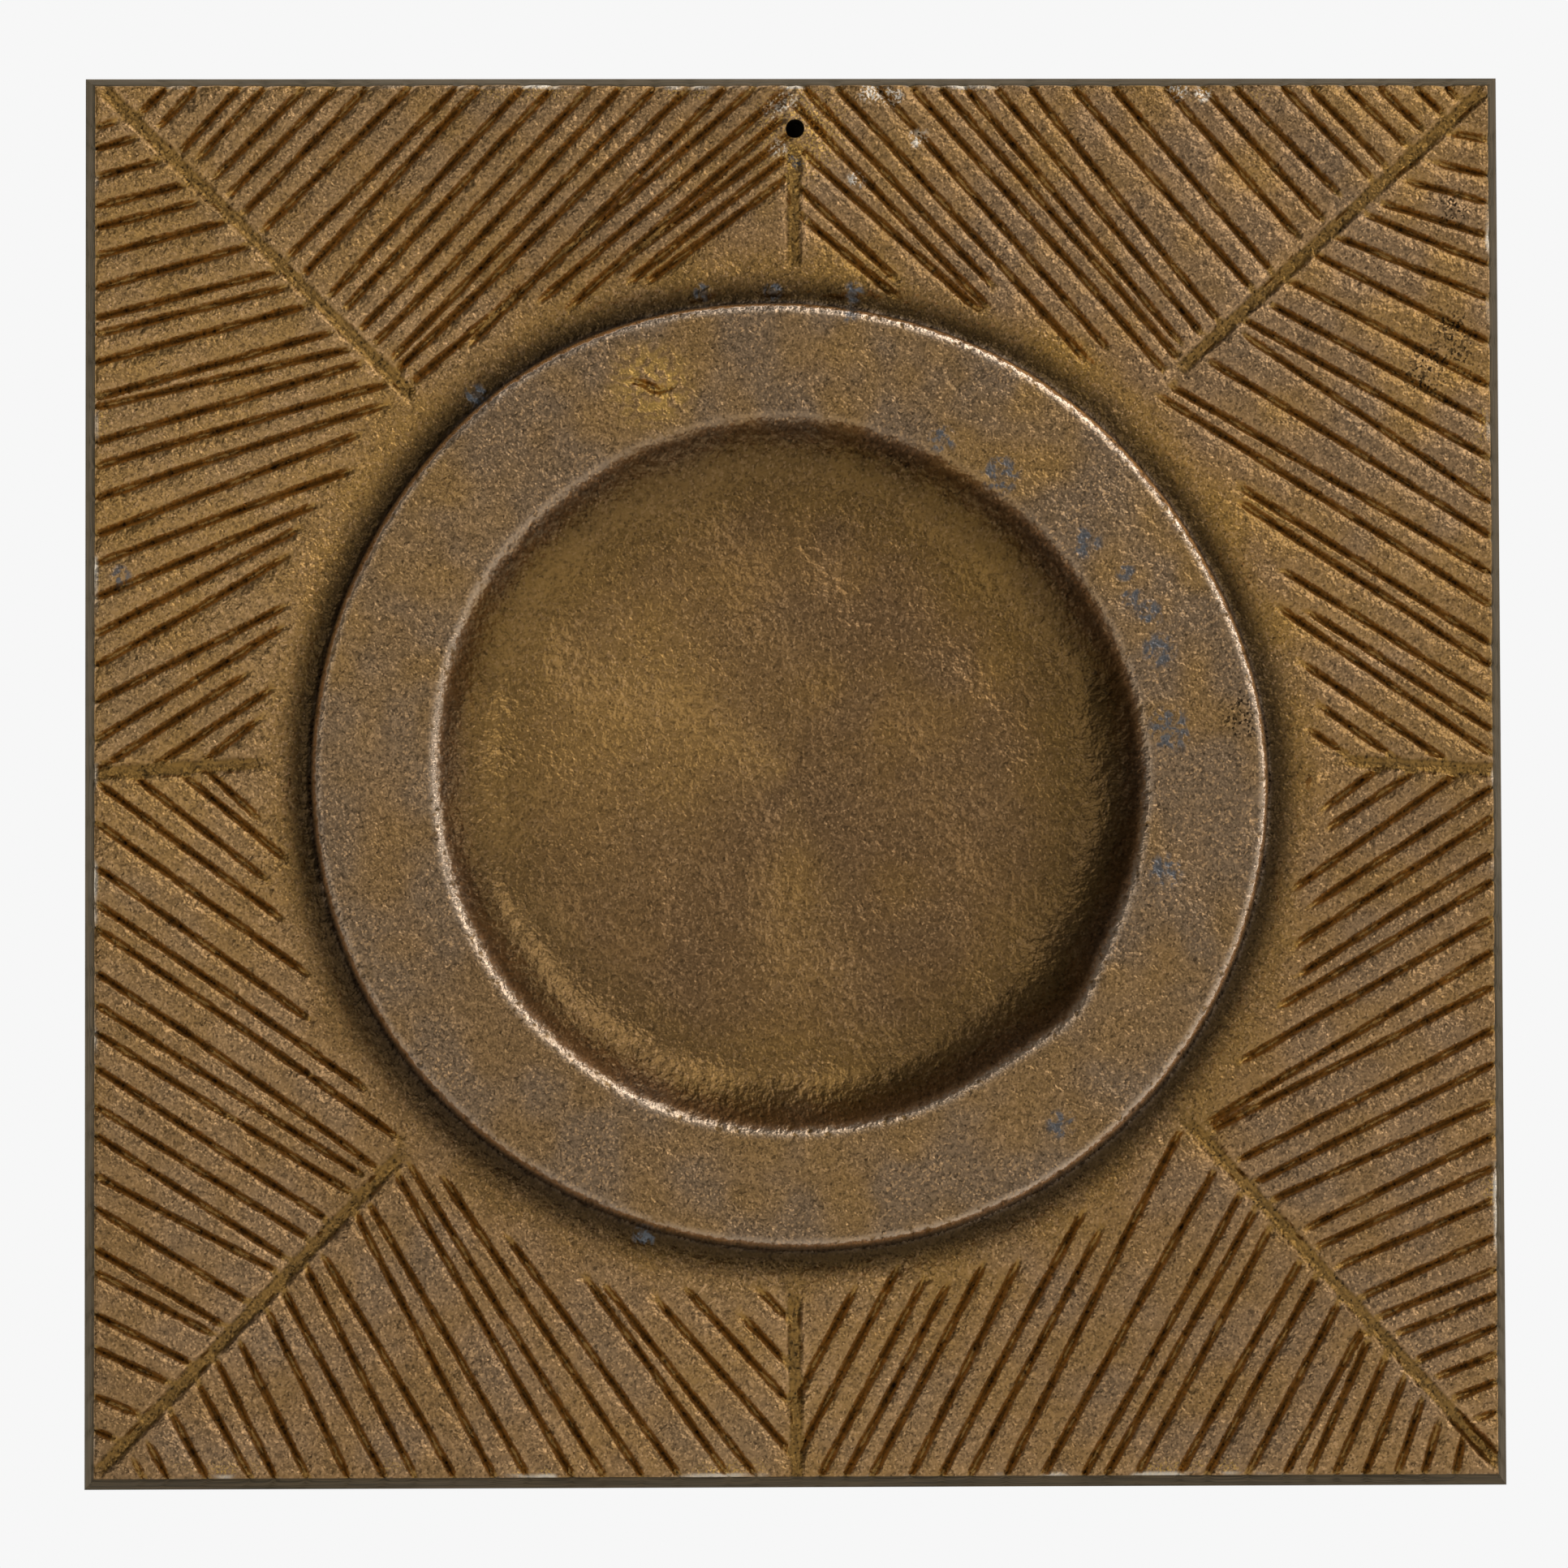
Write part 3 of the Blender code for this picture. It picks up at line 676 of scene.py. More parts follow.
def ring_points():
    """Dish floor, dish wall, lip, ring top, shoulder and moat, each with rows as close as its curve needs."""
    floor = lambda turn: DISH_FLOOR_RADIUS + 0 * turn
    lip_in = lambda turn: lip_outline(turn) - LIP_INSIDE
    lip_out = lambda turn: lip_outline(turn) + LIP_OUTSIDE
    foot = lambda turn: ring_outline(turn) + FOOT_OUTSIDE
    rim = lambda turn: ring_outline(turn) + moat_width(turn) + 1 * MM
    on_shoulder = lambda share: lambda turn: ring_outline(turn) - share * SHOULDER_WIDTH
    rows = rows_between(lambda turn: 0 * turn + 1 * MM, floor, "dish")
    rows += rows_between(floor, lip_in, "wall")
    rows += rows_between(lip_in, lip_out, "lip")
    rows += rows_between(lip_out, on_shoulder(SHOULDER_ROWS[-1]), "top")
    for k, share in enumerate(SHOULDER_ROWS):
        rows.append(ring_row(on_shoulder(share), SHOULDER_STEP, 0.5 * (k % 2)))
    rows += rows_between(ring_outline, foot, "foot")
    rows += rows_between(foot, rim, "moat")
    return np.concatenate(rows)

def land_points():
    """A loose net over the land, clear of the moat and of the grooves' own rows."""
    net = square_net(-FACE_HALF, FACE_HALF, LAND_STEP, 3)
    return clear_of(net[beyond_moat(net) > LAND_FROM_MOAT], strokes, LAND_CLEAR_OF_ROWS)

def accident_points(mark):
    """A fine net over one accident, cut to an oval a little larger than its own."""
    _, x, z, half_length, half_width, _, _ = mark
    reach = 1.5 * (half_length + 0.5) * MM
    net = square_net((x * MM - reach, z * MM - reach), (x * MM + reach, z * MM + reach), ACCIDENT_STEP, 5)
    return net[oval_distance(net, mark, 1.4 * half_length, 1.4 * half_width + 0.3) < 1]

round_points = clear_of(ring_points(), strokes, CLEAR_OF_ROWS)
net_points = land_points()
fine_points = np.concatenate([accident_points(mark) for mark in ACCIDENTS])
print(len(round_points), "round the ring,", len(net_points), "on the land,", len(fine_points), "on accidents")

# %% [markdown]
# ## From points to one closed mesh
# The edge of the face and the rim of the nail hole are closed loops that the triangulation has to keep.
# From them, strips run back to the flat back: down the leaning sides, and through the nail hole. So the
# mesh is closed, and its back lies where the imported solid's back lies.

# %% Edge loops
EDGE_STEP = 0.62 * MM
NAIL_HOLE_RADIUS = 3.3 * MM / 2
NAIL_HOLE_PLACE = np.array([0.4 * MM, FACE_HALF[1] - 7.7 * MM])
NAIL_HOLE_SIDES = 40

def edge_loop():
    """The outline of the face, anticlockwise from the lower left, in even steps along each side."""
    corners = FACE_HALF * np.array([(-1, -1), (1, -1), (1, 1), (-1, 1)])
    sides = []
    for start, end in zip(corners, np.roll(corners, -1, axis=0)):
        count = int(np.linalg.norm(end - start) / EDGE_STEP)
        sides.append(start + np.arange(count)[:, None] / count * (end - start))
    return np.concatenate(sides)

def circle(centre, radius, sides):
    """Points at even steps round a circle."""
    angle = 2 * np.pi * np.arange(sides) / sides
    return centre + radius * np.stack([np.cos(angle), np.sin(angle)], axis=1)

def loop_lines(first, count):
    """The lines of a closed loop of points, numbered from first."""
    numbers = first + np.arange(count)
    return np.stack([numbers, np.roll(numbers, -1)], axis=1)

edge = edge_loop()
hole = circle(NAIL_HOLE_PLACE, NAIL_HOLE_RADIUS, NAIL_HOLE_SIDES)
print(len(edge), "points round the edge,", len(hole), "round the nail hole")

# %% Triangulate the face
ARRIS_ROWS = (0.4, 1.0)
CLEAR_OF_ARRIS = 1.25
HOLE_RINGS_MM = (0.25, 0.7)
CLEAR_OF_HOLE = 0.9 * MM
IN_HOLE = 0.995

def from_nail(points):
    """How far points lie outside the nail hole's rim."""
    return np.linalg.norm(points - NAIL_HOLE_PLACE, axis=1) - NAIL_HOLE_RADIUS

def face_points():
    """Edge and hole first, then everything clear of both, and rows that give the worn arris its shape."""
    inner = np.concatenate([groove_points, round_points, net_points, fine_points])
    inner = inner[from_edge(inner) > CLEAR_OF_ARRIS * ARRIS_WIDTH]
    arris = [edge * (FACE_HALF - inset * ARRIS_WIDTH) / FACE_HALF for inset in ARRIS_ROWS]
    inner = np.concatenate([inner, *arris])
    rings = [circle(NAIL_HOLE_PLACE, NAIL_HOLE_RADIUS + grow * MM, NAIL_HOLE_SIDES) for grow in HOLE_RINGS_MM]
    return np.concatenate([edge, hole, *rings, inner[from_nail(inner) > CLEAR_OF_HOLE]])

def triangulate(points, lines):
    """Triangles between points, with the lines kept, whose middles lie outside the nail hole."""
    made, _, triangles, *_ = delaunay_2d_cdt(points.tolist(), lines.tolist(), [], 0, 1e-8, False)
    assert len(made) == len(points)
    triangles = np.array(triangles)
    middle = points[triangles].mean(axis=1)
    return triangles[from_nail(middle) > (IN_HOLE - 1) * NAIL_HOLE_RADIUS]

flat_points = face_points()
loops = np.concatenate([loop_lines(0, len(edge)), loop_lines(len(edge), len(hole))])
face_triangles = triangulate(flat_points, loops)
height, groove_cut = face_height(flat_points)
print(len(flat_points), "points and", len(face_triangles), "triangles on the face")

# %% Sides, hole wall and back
SIDE_ROWS = (0.35, 0.75, 1.0)
FILE_WAVE = 0.06 * MM
FILE_WAVE_LENGTH = 6 * MM
FILE_SEED = 9

def strip(first, second):
    """Two triangles for each step between two closed rows of point numbers."""
    a, b = first, np.roll(first, -1)
    c, d = second, np.roll(second, -1)
    return np.concatenate([np.stack([a, c, b], axis=1), np.stack([b, c, d], axis=1)])

def side_row(share):
    """A row this share of the way back: the outline grows evenly, and a file has left it slightly wavy."""
    grown = edge * (1 + share * (BACK_HALF - FACE_HALF) / FACE_HALF)
    wave = FILE_WAVE * np.sin(np.pi * share) * random_relief(edge, FILE_WAVE_LENGTH, FILE_SEED)
    grown = grown * (1 - wave[:, None] / FACE_HALF)
    depth = (1 - share) * height[: len(edge)]
    return np.stack([grown[:, 0], -depth, grown[:, 1]], axis=1)

def build_plaque_mesh():
    """Face, then side rows, then the back's hole rim, and the triangles that join them."""
    face = np.stack([flat_points[:, 0], -height, flat_points[:, 1]], axis=1)
    hole_back = np.stack([hole[:, 0], np.zeros(len(hole)), hole[:, 1]], axis=1)
    rows = [side_row(share) for share in SIDE_ROWS]
    points = np.concatenate([face, *rows, hole_back])
    numbers = [np.arange(len(edge))]
    numbers += [len(face) + k * len(edge) + np.arange(len(edge)) for k in range(len(rows))]
    hole_front = len(edge) + np.arange(len(hole))
    hole_rear = len(face) + len(rows) * len(edge) + np.arange(len(hole))
    triangles = [face_triangles]
    triangles += [strip(first, second) for first, second in zip(numbers, numbers[1:])]
    triangles.append(strip(hole_front[::-1], hole_rear[::-1]))
    back_numbers = np.concatenate([numbers[-1], hole_rear])
    back = triangulate(points[back_numbers][:, [0, 2]], loops)
    triangles.append(back_numbers[back[:, ::-1]])
    return points, np.concatenate(triangles)

points, triangles = build_plaque_mesh()
edges = np.concatenate([triangles[:, [0, 1]], triangles[:, [1, 2]], triangles[:, [2, 0]]])
edge_uses = np.unique(np.sort(edges, axis=1), axis=0, return_counts=True)[1]
corners = points[triangles]
volume = np.einsum("ij,ij->i", corners[:, 0], np.cross(corners[:, 1], corners[:, 2])).sum() / 6
uses = set(edge_uses.tolist())
print(len(triangles), "triangles, each edge used", uses, "times,", round(volume * 1e6, 1), "cm3 of metal")

# %% [markdown]
# ## Reading the relief
# Patina follows the form: it is golden and darker where fingers and polish can't reach, and rubbed bright,
# with painted glints, on whatever stands out. So the height is blurred, and the difference between a point
# and the blurred height says whether it stands out. A blur over 1.4 mm finds rims and groove floors, and one
# over
# 8 mm the moat and the ring.

# %% Relief maps
MAP_STEP = 0.5 * MM
FINE_SPREAD = 1.4 * MM
BROAD_SPREAD = 8.0 * MM

map_x, map_z = (np.arange(-half, half, MAP_STEP) for half in FACE_HALF)

def height_map():
    """The height of the face on a square net of knots."""
    x, z = np.meshgrid(map_x, map_z, indexing="ij")
    return face_height(np.stack([x.ravel(), z.ravel()], axis=1))[0].reshape(x.shape)

def bells(places, spread):
    """One bell curve a row, centred on each place and adding up to one."""
    weight = np.exp(-(((places[:, None] - places[None, :]) / spread) ** 2) / 2)
    return weight / weight.sum(axis=1, keepdims=True)

def blurred(heights, spread):
    """Every height becomes the bell-weighted mean of its surroundings: first along x, then along z."""
    return bells(map_x, spread) @ heights @ bells(map_z, spread).T

def read_map(heights, points):
    """The map at any points, blended in a straight line between the four nearest knots."""
    place = np.clip((points + FACE_HALF) / MAP_STEP, 0, np.array(heights.shape) - 1.001)
    i, j = np.floor(place).astype(int).T
    t, s = (place - np.floor(place)).T
    near = heights[i, j] * (1 - s) + heights[i, j + 1] * s
    far = heights[i + 1, j] * (1 - s) + heights[i + 1, j + 1] * s
    return near * (1 - t) + far * t

flat_map = height_map()
fine_blur = read_map(blurred(flat_map, FINE_SPREAD), flat_points)
broad_blur = read_map(blurred(flat_map, BROAD_SPREAD), flat_points)
stands_out = (height - fine_blur) / MM
stands_broadly = (fine_blur - broad_blur) / MM
print("Points stand out by", np.round(np.percentile(stands_out, (1, 50, 99)), 2), "mm, broadly by",
      np.round(np.percentile(stands_broadly, (1, 50, 99)), 2), "mm")

# %% [markdown]
# ## Painted light and shade, blue, porous and knocked places
# The painted highlights along the shoulder and the lip, the painted shade on the dish's wall, the painted
# light that makes the hollows golden, and the pale skin aren't even all round. So each has one value for
# every hour of the clock, from twelve, with the same smooth closed curve through them as the outlines have.
# Old blue patina, porous metal and knocks to the bare metal stand in their own places: a bell curve round
# each, and the strongest one counts.

# %% Painted light and shade, blue, porous and knocked places
# painted highlights: how strongly the light catches the shoulder and the lip at each hour
SHOULDER_HIGHLIGHT = (1.4, 1.5, 1.3, 0.8, 0.8, 0.6, 0.4, 0.3, 0.3, 0.35, 0.5, 1.1)
LIP_HIGHLIGHT = (0.1, 0.05, 0.1, 0.3, 0.55, 0.6, 0.7, 0.8, 0.85, 0.75, 0.4, 0.15)
# painted shade on the dish's wall at each hour, darkest where the light leaves the wall in shade
WALL_SHADE = (0.56, 0.6, 0.65, 0.7, 0.62, 0.45, 0.3, 0.32, 0.36, 0.42, 0.46, 0.52)
# painted light: how golden the hollows are at each hour, most where the light falls
GOLDEN_WHERE_LIT = (0.8, 1.0, 1.0, 0.6, 0.5, 0.5, 0.6, 0.3, 0.1, 0.6, 0.8, 0.6)
PALE = (0.05, 0.0, 0.05, 0.05, 0.0, 0.0, 0.15, 0.0, 0.12, 0.3, 0.45, 0.2)
PALE_ON_RING = 0.15
# where the painted highlights lie across the shoulder and the lip, and how wide, in mm
SHOULDER_HIGHLIGHT_AT = 0.9
LIP_HIGHLIGHT_AT = 0.2
HIGHLIGHT_SPREAD = 0.8
# x, z and reach, all in mm
BLUE_PLACES = (
    (25.9, 59.0, 2.4), (36.1, 52.8, 3.4), (51.0, 40.8, 2.8), (57.9, 35.7, 1.8), (59.0, 31.3, 2.0),
    (62.3, 28.4, 2.4), (63.8, 21.9, 3.0), (65.6, 8.0, 4.0), (64.7, -16.8, 3.0), (46.1, -61.1, 2.5),
    (-56.0, 67.4, 2.2), (-26.7, -80.4, 2.0), (-118.4, 35.7, 2.0), (9.7, 81.4, 1.8), (-16.0, 85.8, 1.6),
    (-3.6, 85.9, 1.6), (10.6, 85.8, 1.8), (0.7, 109.0, 1.5),
)
POROUS_PLACES = (
    (116.6, 100.6, 3.0), (116.6, 78.5, 4.0), (111.5, 72.1, 4.5), (117.3, 74.3, 3.0), (78.9, 10.3, 4.5),
)
KNOCKED_PLACES = (
    (-1.1, 119.8, 2.0), (-3.5, 118.2, 1.8), (-2.7, 111.4, 1.7), (13.5, 121.3, 2.0), (17.5, 120.4, 2.0),
    (22.2, 113.0, 1.8), (11.3, 105.8, 1.6), (68.0, 121.6, 1.8), (72.5, 121.0, 1.6),
)

def spots(places):
    """At each point of the face the strongest of the bell curves round these places."""
    face_mm = flat_points / MM
    strongest = np.zeros(len(face_mm))
    for x, z, reach in places:
        away = ((face_mm - (x, z)) ** 2).sum(axis=1)
        strongest = np.maximum(strongest, np.exp(-away / reach**2))
    return strongest

def painted_edge_highlights(past_ring, inside_lip, turn):
    """Painted highlights: bell curves across the shoulder and across the lip, as high as the light catches
    each at that hour.
    """
    shoulder = np.exp(-(((past_ring + SHOULDER_HIGHLIGHT_AT) / HIGHLIGHT_SPREAD) ** 2))
    lip = np.exp(-(((inside_lip + LIP_HIGHLIGHT_AT) / HIGHLIGHT_SPREAD) ** 2))
    return shoulder * round_the_clock(SHOULDER_HIGHLIGHT, turn) + lip * round_the_clock(LIP_HIGHLIGHT, turn)

def pale_skin(past_ring, inside_lip, turn):
    """How pale the skin is at that hour: fully off the ring, and faintly on the ring and the dish's wall."""
    off_ring = np.clip(np.maximum(past_ring / 2, (inside_lip - 2) / 8), PALE_ON_RING, 1.0)
    return round_the_clock(PALE, turn) * off_ring

print(len(BLUE_PLACES), "blue,", len(POROUS_PLACES), "porous and", len(KNOCKED_PLACES), "knocked places")

# %% [markdown]
# ## The plaque as an object
# The mesh carries what its finish needs to know as one value a point: how it stands out, how far it is from
# the ring, the lip and the face's edge in mm, how deep in a groove or a spine, how much painted highlight,
# painted shade and painted light it takes, how pale it is, and two cloudy patterns. The sides and the back
# have no such places, so each value is a plain one there.

# %% Put the mesh in place
SHARP_ANGLE = np.radians(62)
OFF_FACE = {"past_ring_edge": 60.0, "inside_lip": -60.0, "golden": 0.5, "from_edge": 20.0}

def cloudy(sizes_mm, seed):
    """Random relief of several sizes added up, each half as strong as the one before."""
    flat = points[:, [0, 2]]
    return sum(random_relief(flat, size * MM, seed + k) / 2**k for k, size in enumerate(sizes_mm))

def finish_facts():
    """Every value that the finish reads, by name."""
    radius, turn = ring_polar(flat_points[:, 0], flat_points[:, 1])
    past_ring = (radius - ring_outline(turn)) / MM
    inside_lip = (lip_outline(turn) - radius) / MM
    spine_cut = drawn_grooves(flat_points, strokes[:len(SPINES)])[0]
    return {
        "stands_out": stands_out,
        "stands_broadly": stands_broadly,
        "in_groove": np.clip(groove_cut / GROOVE_DEPTH, 0, 1),
        "in_spine": np.clip(spine_cut / SPINE_DEPTH / SPINE_SHALLOWER, 0, 1),
        "past_ring_edge": past_ring,
        "inside_lip": inside_lip,
        # painted shade on the dish's wall, painted light in the hollows, the pale skin and painted highlights
        # on the edges, by hour
        "wall_shade": round_the_clock(WALL_SHADE, turn),
        "golden": round_the_clock(GOLDEN_WHERE_LIT, turn),
        "pale": pale_skin(past_ring, inside_lip, turn),
        "edge_highlight": painted_edge_highlights(past_ring, inside_lip, turn),
        "old_blue": spots(BLUE_PLACES),
        "porous": spots(POROUS_PLACES),
        "knocked": spots(KNOCKED_PLACES),
        "from_edge": from_edge(flat_points) / MM,
        "mottle": cloudy((9, 5, 2.7), 21),
        "patch": cloudy((24, 12, 6), 31),
    }

def add_plaque():
    """The mesh with its values, smooth but for its sharp edges. Past the face's points a value is plain."""
    mesh = bpy.data.meshes.new("relief_plaque")
    mesh.from_pydata(points.tolist(), [], triangles.tolist())
    for name, values in finish_facts().items():
        everywhere = np.full(len(points), OFF_FACE.get(name, 0.0), np.float32)
        everywhere[:len(values)] = values
        mesh.attributes.new(name, "FLOAT", "POINT").data.foreach_set("value", everywhere)
    mesh.shade_smooth()
    mesh.set_sharp_from_angle(angle=SHARP_ANGLE)
    made = bpy.data.objects.new("relief_plaque", mesh)
    bpy.context.scene.collection.objects.link(made)
    return made

plaque = add_plaque()
print("The plaque is", in_mm(plaque.dimensions), "mm")

# %% [markdown]
# ## Wires
# A material is a net of nodes. This class wraps one socket, so that sums and products can be written as in
# ordinary Python, and each adds its node. Any other node comes from one method.

# %% Wires
class Wire:
    """One output of a shader's net. Arithmetic on wires and numbers adds Math nodes."""

    def __init__(self, socket):
        self.socket = socket
        self.tree = socket.id_data

    def node(self, kind, settings=None, inputs=None, output=0):
        """Adds a node: its settings first, then a number, a colour or a wire for each of its inputs."""
        made = self.tree.nodes.new("ShaderNode" + kind)
        for name, value in (settings or {}).items():
            setattr(made, name, value)
        for name, value in (inputs or {}).items():
            if isinstance(value, Wire):
                self.tree.links.new(value.socket, made.inputs[name])
            else:
                made.inputs[name].default_value = value
        return Wire(made.outputs[output])

    def math(self, operation, first, second=0.0):
        return self.node("Math", {"operation": operation}, {0: first, 1: second})

    def __add__(self, other):
        return self.math("ADD", self, other)

    def __sub__(self, other):
        return self.math("SUBTRACT", self, other)

    def __rsub__(self, other):
        return self.math("SUBTRACT", other, self)

    def __mul__(self, other):
        return self.math("MULTIPLY", self, other)

    def __abs__(self):
        return self.math("ABSOLUTE", self)

    def __gt__(self, other):
        return self.math("GREATER_THAN", self, other)

    __radd__ = __add__

    def at_most(self, other):
        return self.math("MINIMUM", self, other)

    def at_least(self, other):
        return self.math("MAXIMUM", self, other)

    def rise(self, low, high):
        """A smooth step from 0 at low to 1 at high; it falls where low is above high."""
        limits = {"From Min": low, "From Max": high}
        return self.node("MapRange", {"interpolation_type": "SMOOTHSTEP"}, {"Value": self, **limits})

    def tint(self, first, second):
        """The colour that is first where this wire is 0 and second where it is 1."""
        return self.node("Mix", {"data_type": "RGBA"}, {0: self, 6: first, 7: second}, 2)

def paint(red, green, blue):
    """A colour as a screen shows it, 0 to 255, turned into the light that it stands for."""
    share = np.array([red, green, blue]) / 255
    light = np.where(share <= 0.04045, share / 12.92, ((share + 0.055) / 1.055) ** 2.4)
    return (*light.tolist(), 1)

def open_material(name):
    """A material, its shader, and the wire of its Object coordinates."""
    material = bpy.data.materials.new(name)
    material.use_nodes = True
    nodes = material.node_tree.nodes
    return material, nodes["Principled BSDF"], Wire(nodes.new("ShaderNodeTexCoord").outputs["Object"])

bronze, bronze_shader, place = open_material("cast bronze")
print("The net starts with", len(bronze.node_tree.nodes), "nodes")

# %% [markdown]
# ## Sand-cast grain
# The mould was sand, so the skin has a grain of about half a millimetre, larger pebbles, and pores. They
# are only bump and colour, because they are finer than the mesh's own triangles. The textures are flat
# ones, read by x and z: the face is nearly flat, and flat textures are quicker. Only on the ring's upright
# wall, which the photograph hardly shows, do they stretch into stripes. Pores come in patches, where gas
# was caught.

# %% Grain, pebbles and pores
GRAIN_MM = 0.45
PEBBLE_MM = 1.6
SAND_MM = 0.37

def parted(place):
    """The x and the z of a place."""
    parts = place.node("SeparateXYZ", {}, {0: place}).socket.node.outputs
    return Wire(parts["X"]), Wire(parts["Z"])

def flattened(place):
    """x and z as a flat place, for textures that lie on the face."""
    x, z = parted(place)
    return place.node("CombineXYZ", {}, {0: x, 1: z})

def clouds(size_mm, detail, roughness):
    """Soft random values between about 0.25 and 0.75, with blobs of this size."""
    knobs = {"Vector": on_face, "Scale": 1000 / size_mm, "Detail": detail, "Roughness": roughness}
    return on_face.node("TexNoise", {"noise_dimensions": "2D"}, knobs)

def grains_of_sand(size_mm):
    """A random value for each little cell of this size, as if each grain of sand had printed its own."""
    knobs = {"Vector": on_face, "Scale": 1000 / size_mm}
    return on_face.node("TexVoronoi", {"voronoi_dimensions": "2D"}, knobs, "Color")

def fact(name):
    """A value that the mesh carries."""
    return on_face.node("Attribute", {"attribute_name": name}, {}, "Fac")

on_face = flattened(place)
grain = clouds(GRAIN_MM, 1.0, 0.5)
pebbles = clouds(PEBBLE_MM, 2.0, 0.55)
patch = fact("patch")
mottle = fact("mottle")
sand = grains_of_sand(SAND_MM)
pores = sand.rise(0.46, 0.36) * fact("porous").rise(0.2, 0.7)
print("Grain, pebbles and pores are ready")

# %% [markdown]
# ## Patina, painted shade and painted highlights
# Under the polish the bronze has a golden-ochre skin. Handling has greyed what stands highest. Painted shade
# darkens the floors of the grooves, the walls of the spines, the ring's foot and the dish's wall; the hollows
# are darker too, and dirt lies in the pores and between the grains of sand. Painted highlights lie pinkish
# white along the shoulder and the lip, and rubbed metal with painted glints on the raised land, the groove
# rims and the tops of the grains.

# %% Patina, painted shade and painted highlights
OCHRE = paint(176, 135, 70)
MOAT_BROWN = paint(146, 113, 70)
WARM_BROWN = paint(172, 133, 88)
GREY_BROWN = paint(147, 121, 92)
DISH_BROWN = paint(131, 98, 60)
PALE_OCHRE = paint(208, 162, 92)
GROOVE_GOLD = paint(174, 132, 66)
# dark brown for dirt and for painted shade
SHADE_AND_DIRT = paint(36, 25, 12)
# pale pink for painted glints on the grain tops and for rubbed metal on the land
GRAIN_GLINT = paint(226, 180, 128)
# near white for the painted highlights along the shoulder and the lip
PAINTED_HIGHLIGHT = paint(255, 226, 196)
BLUE_GREY = paint(104, 109, 114)
GOLD = paint(222, 176, 92)
BARE_METAL = paint(250, 240, 222)

out = fact("stands_out")
broad = fact("stands_broadly")
in_groove = fact("in_groove")
in_spine = fact("in_spine")
past_ring = fact("past_ring_edge")
inside_lip = fact("inside_lip")
from_side = fact("from_edge")
in_dish = inside_lip.rise(1.0, 9.0)

# strengths of the painted shade round the ring's foot, of the rubbed metal and painted glints on the land,
# and of the painted highlights along the edges
FOOT_SHADE = 0.86
LAND_RUB_AND_GLINT = 0.7
EDGE_HIGHLIGHT_SHARE = 0.95

def skin():
    """Ochre in the hollows, with painted light: more golden at the hours where the light falls, browner at
    the others. Warm brown between, grey brown on the high parts, golden in what was drawn. The dish is
    browner, and the pale hours are paler."""
    high = broad.rise(-0.6, 1.6) * 0.7 + mottle.rise(-0.7, 0.9) * 0.5
    low = broad.rise(-0.1, -1.4) * 0.6 + mottle.rise(0.6, -1.0) * (0.6 - in_dish * 0.3)
    low = low + out.rise(0.05, -0.35) * 0.28 + in_dish * patch.rise(0.0, 1.3) * 0.4
    # painted light: the hollows are more golden where the light falls and browner where it doesn't
    hollow = fact("golden").tint(MOAT_BROWN, OCHRE)
    cast = low.tint((in_dish * 0.7).tint(high.tint(WARM_BROWN, GREY_BROWN), DISH_BROWN), hollow)
    return (in_groove.rise(0.06, 0.5) * 0.8).tint(fact("pale").tint(cast, PALE_OCHRE), GROOVE_GOLD)

def dirtied_and_shaded(colour):
    """Painted shade in grooves' floors and on spines' walls, darker hollows, and dirt in pores and between
    grains of sand.
    """
    # painted shade in the grooves' floors and on the spines' walls; the hollows are darker too
    thin = in_groove.rise(0.62, 1.0) * in_spine.rise(0.5, 0.1) * 0.44
    spine_walls = in_spine.rise(0.0, 0.5) * in_spine.rise(1.0, 0.5) * 0.3 + in_spine * 0.16
    between = sand.rise(0.38, 0.1) * (0.46 - in_dish * 0.1) + pebbles.rise(0.5, 0.3) * 0.2
    hollows = out.rise(-0.1, -0.35) * past_ring.rise(-1.0, -3.0) * 0.5
    return (thin + spine_walls + hollows + between + pores * 0.5).at_most(0.94).tint(colour, SHADE_AND_DIRT)

def shaded(colour):
    """Painted shade round the ring's foot and on the dish's wall, over everything else."""
    # painted shade round the ring's foot
    foot = past_ring.rise(-0.4, 0.3) * past_ring.rise(7.5, 1.4) * FOOT_SHADE
    # painted shade on the dish's wall
    wall = inside_lip.rise(0.4, 2.0) * inside_lip.rise(28.0, 4.0) * fact("wall_shade")
    return (foot + wall).tint(colour, SHADE_AND_DIRT)

# painted glints on the tops of the grains, and rubbed metal with painted glints on the raised land
grain_glints = sand.rise(0.62, 0.9) * (0.48 + mottle * 0.2)
glinting_tops = grain_glints * in_groove.rise(0.5, 0.1) * (1 - in_dish * 0.38)
land_rub_and_glint = out.rise(0.1, 0.45) * past_ring.rise(1.0, 4.0) * patch.rise(-0.6, 0.9) * sand
# painted highlights along the shoulder and the lip; the metal there is also made smoother and more metallic
highlit_and_worn = (fact("edge_highlight") * pebbles.rise(0.26, 0.46)).at_most(1.0)
sparkling = (glinting_tops + land_rub_and_glint * LAND_RUB_AND_GLINT).at_least(0.0).at_most(1.0).tint(dirtied_and_shaded(skin()), GRAIN_GLINT)
face_colour = (highlit_and_worn * EDGE_HIGHLIGHT_SHARE).tint(shaded(sparkling), PAINTED_HIGHLIGHT)
print("Patina uses", len(bronze.node_tree.nodes), "nodes")

# %% [markdown]
# ## Specks and chips
# Blue-grey specks of old patina sit on the ring. Round the nail and along the top edge, knocks have laid
# bare golden and nearly white metal.

# %% Specks and chips
# x, z and reach, all in mm
GOLD_ROUND_NAIL = (1.0, 114.0, 12.0)
GOLD_ROUND_PIT = (-25.2, 68.6, 10.0)

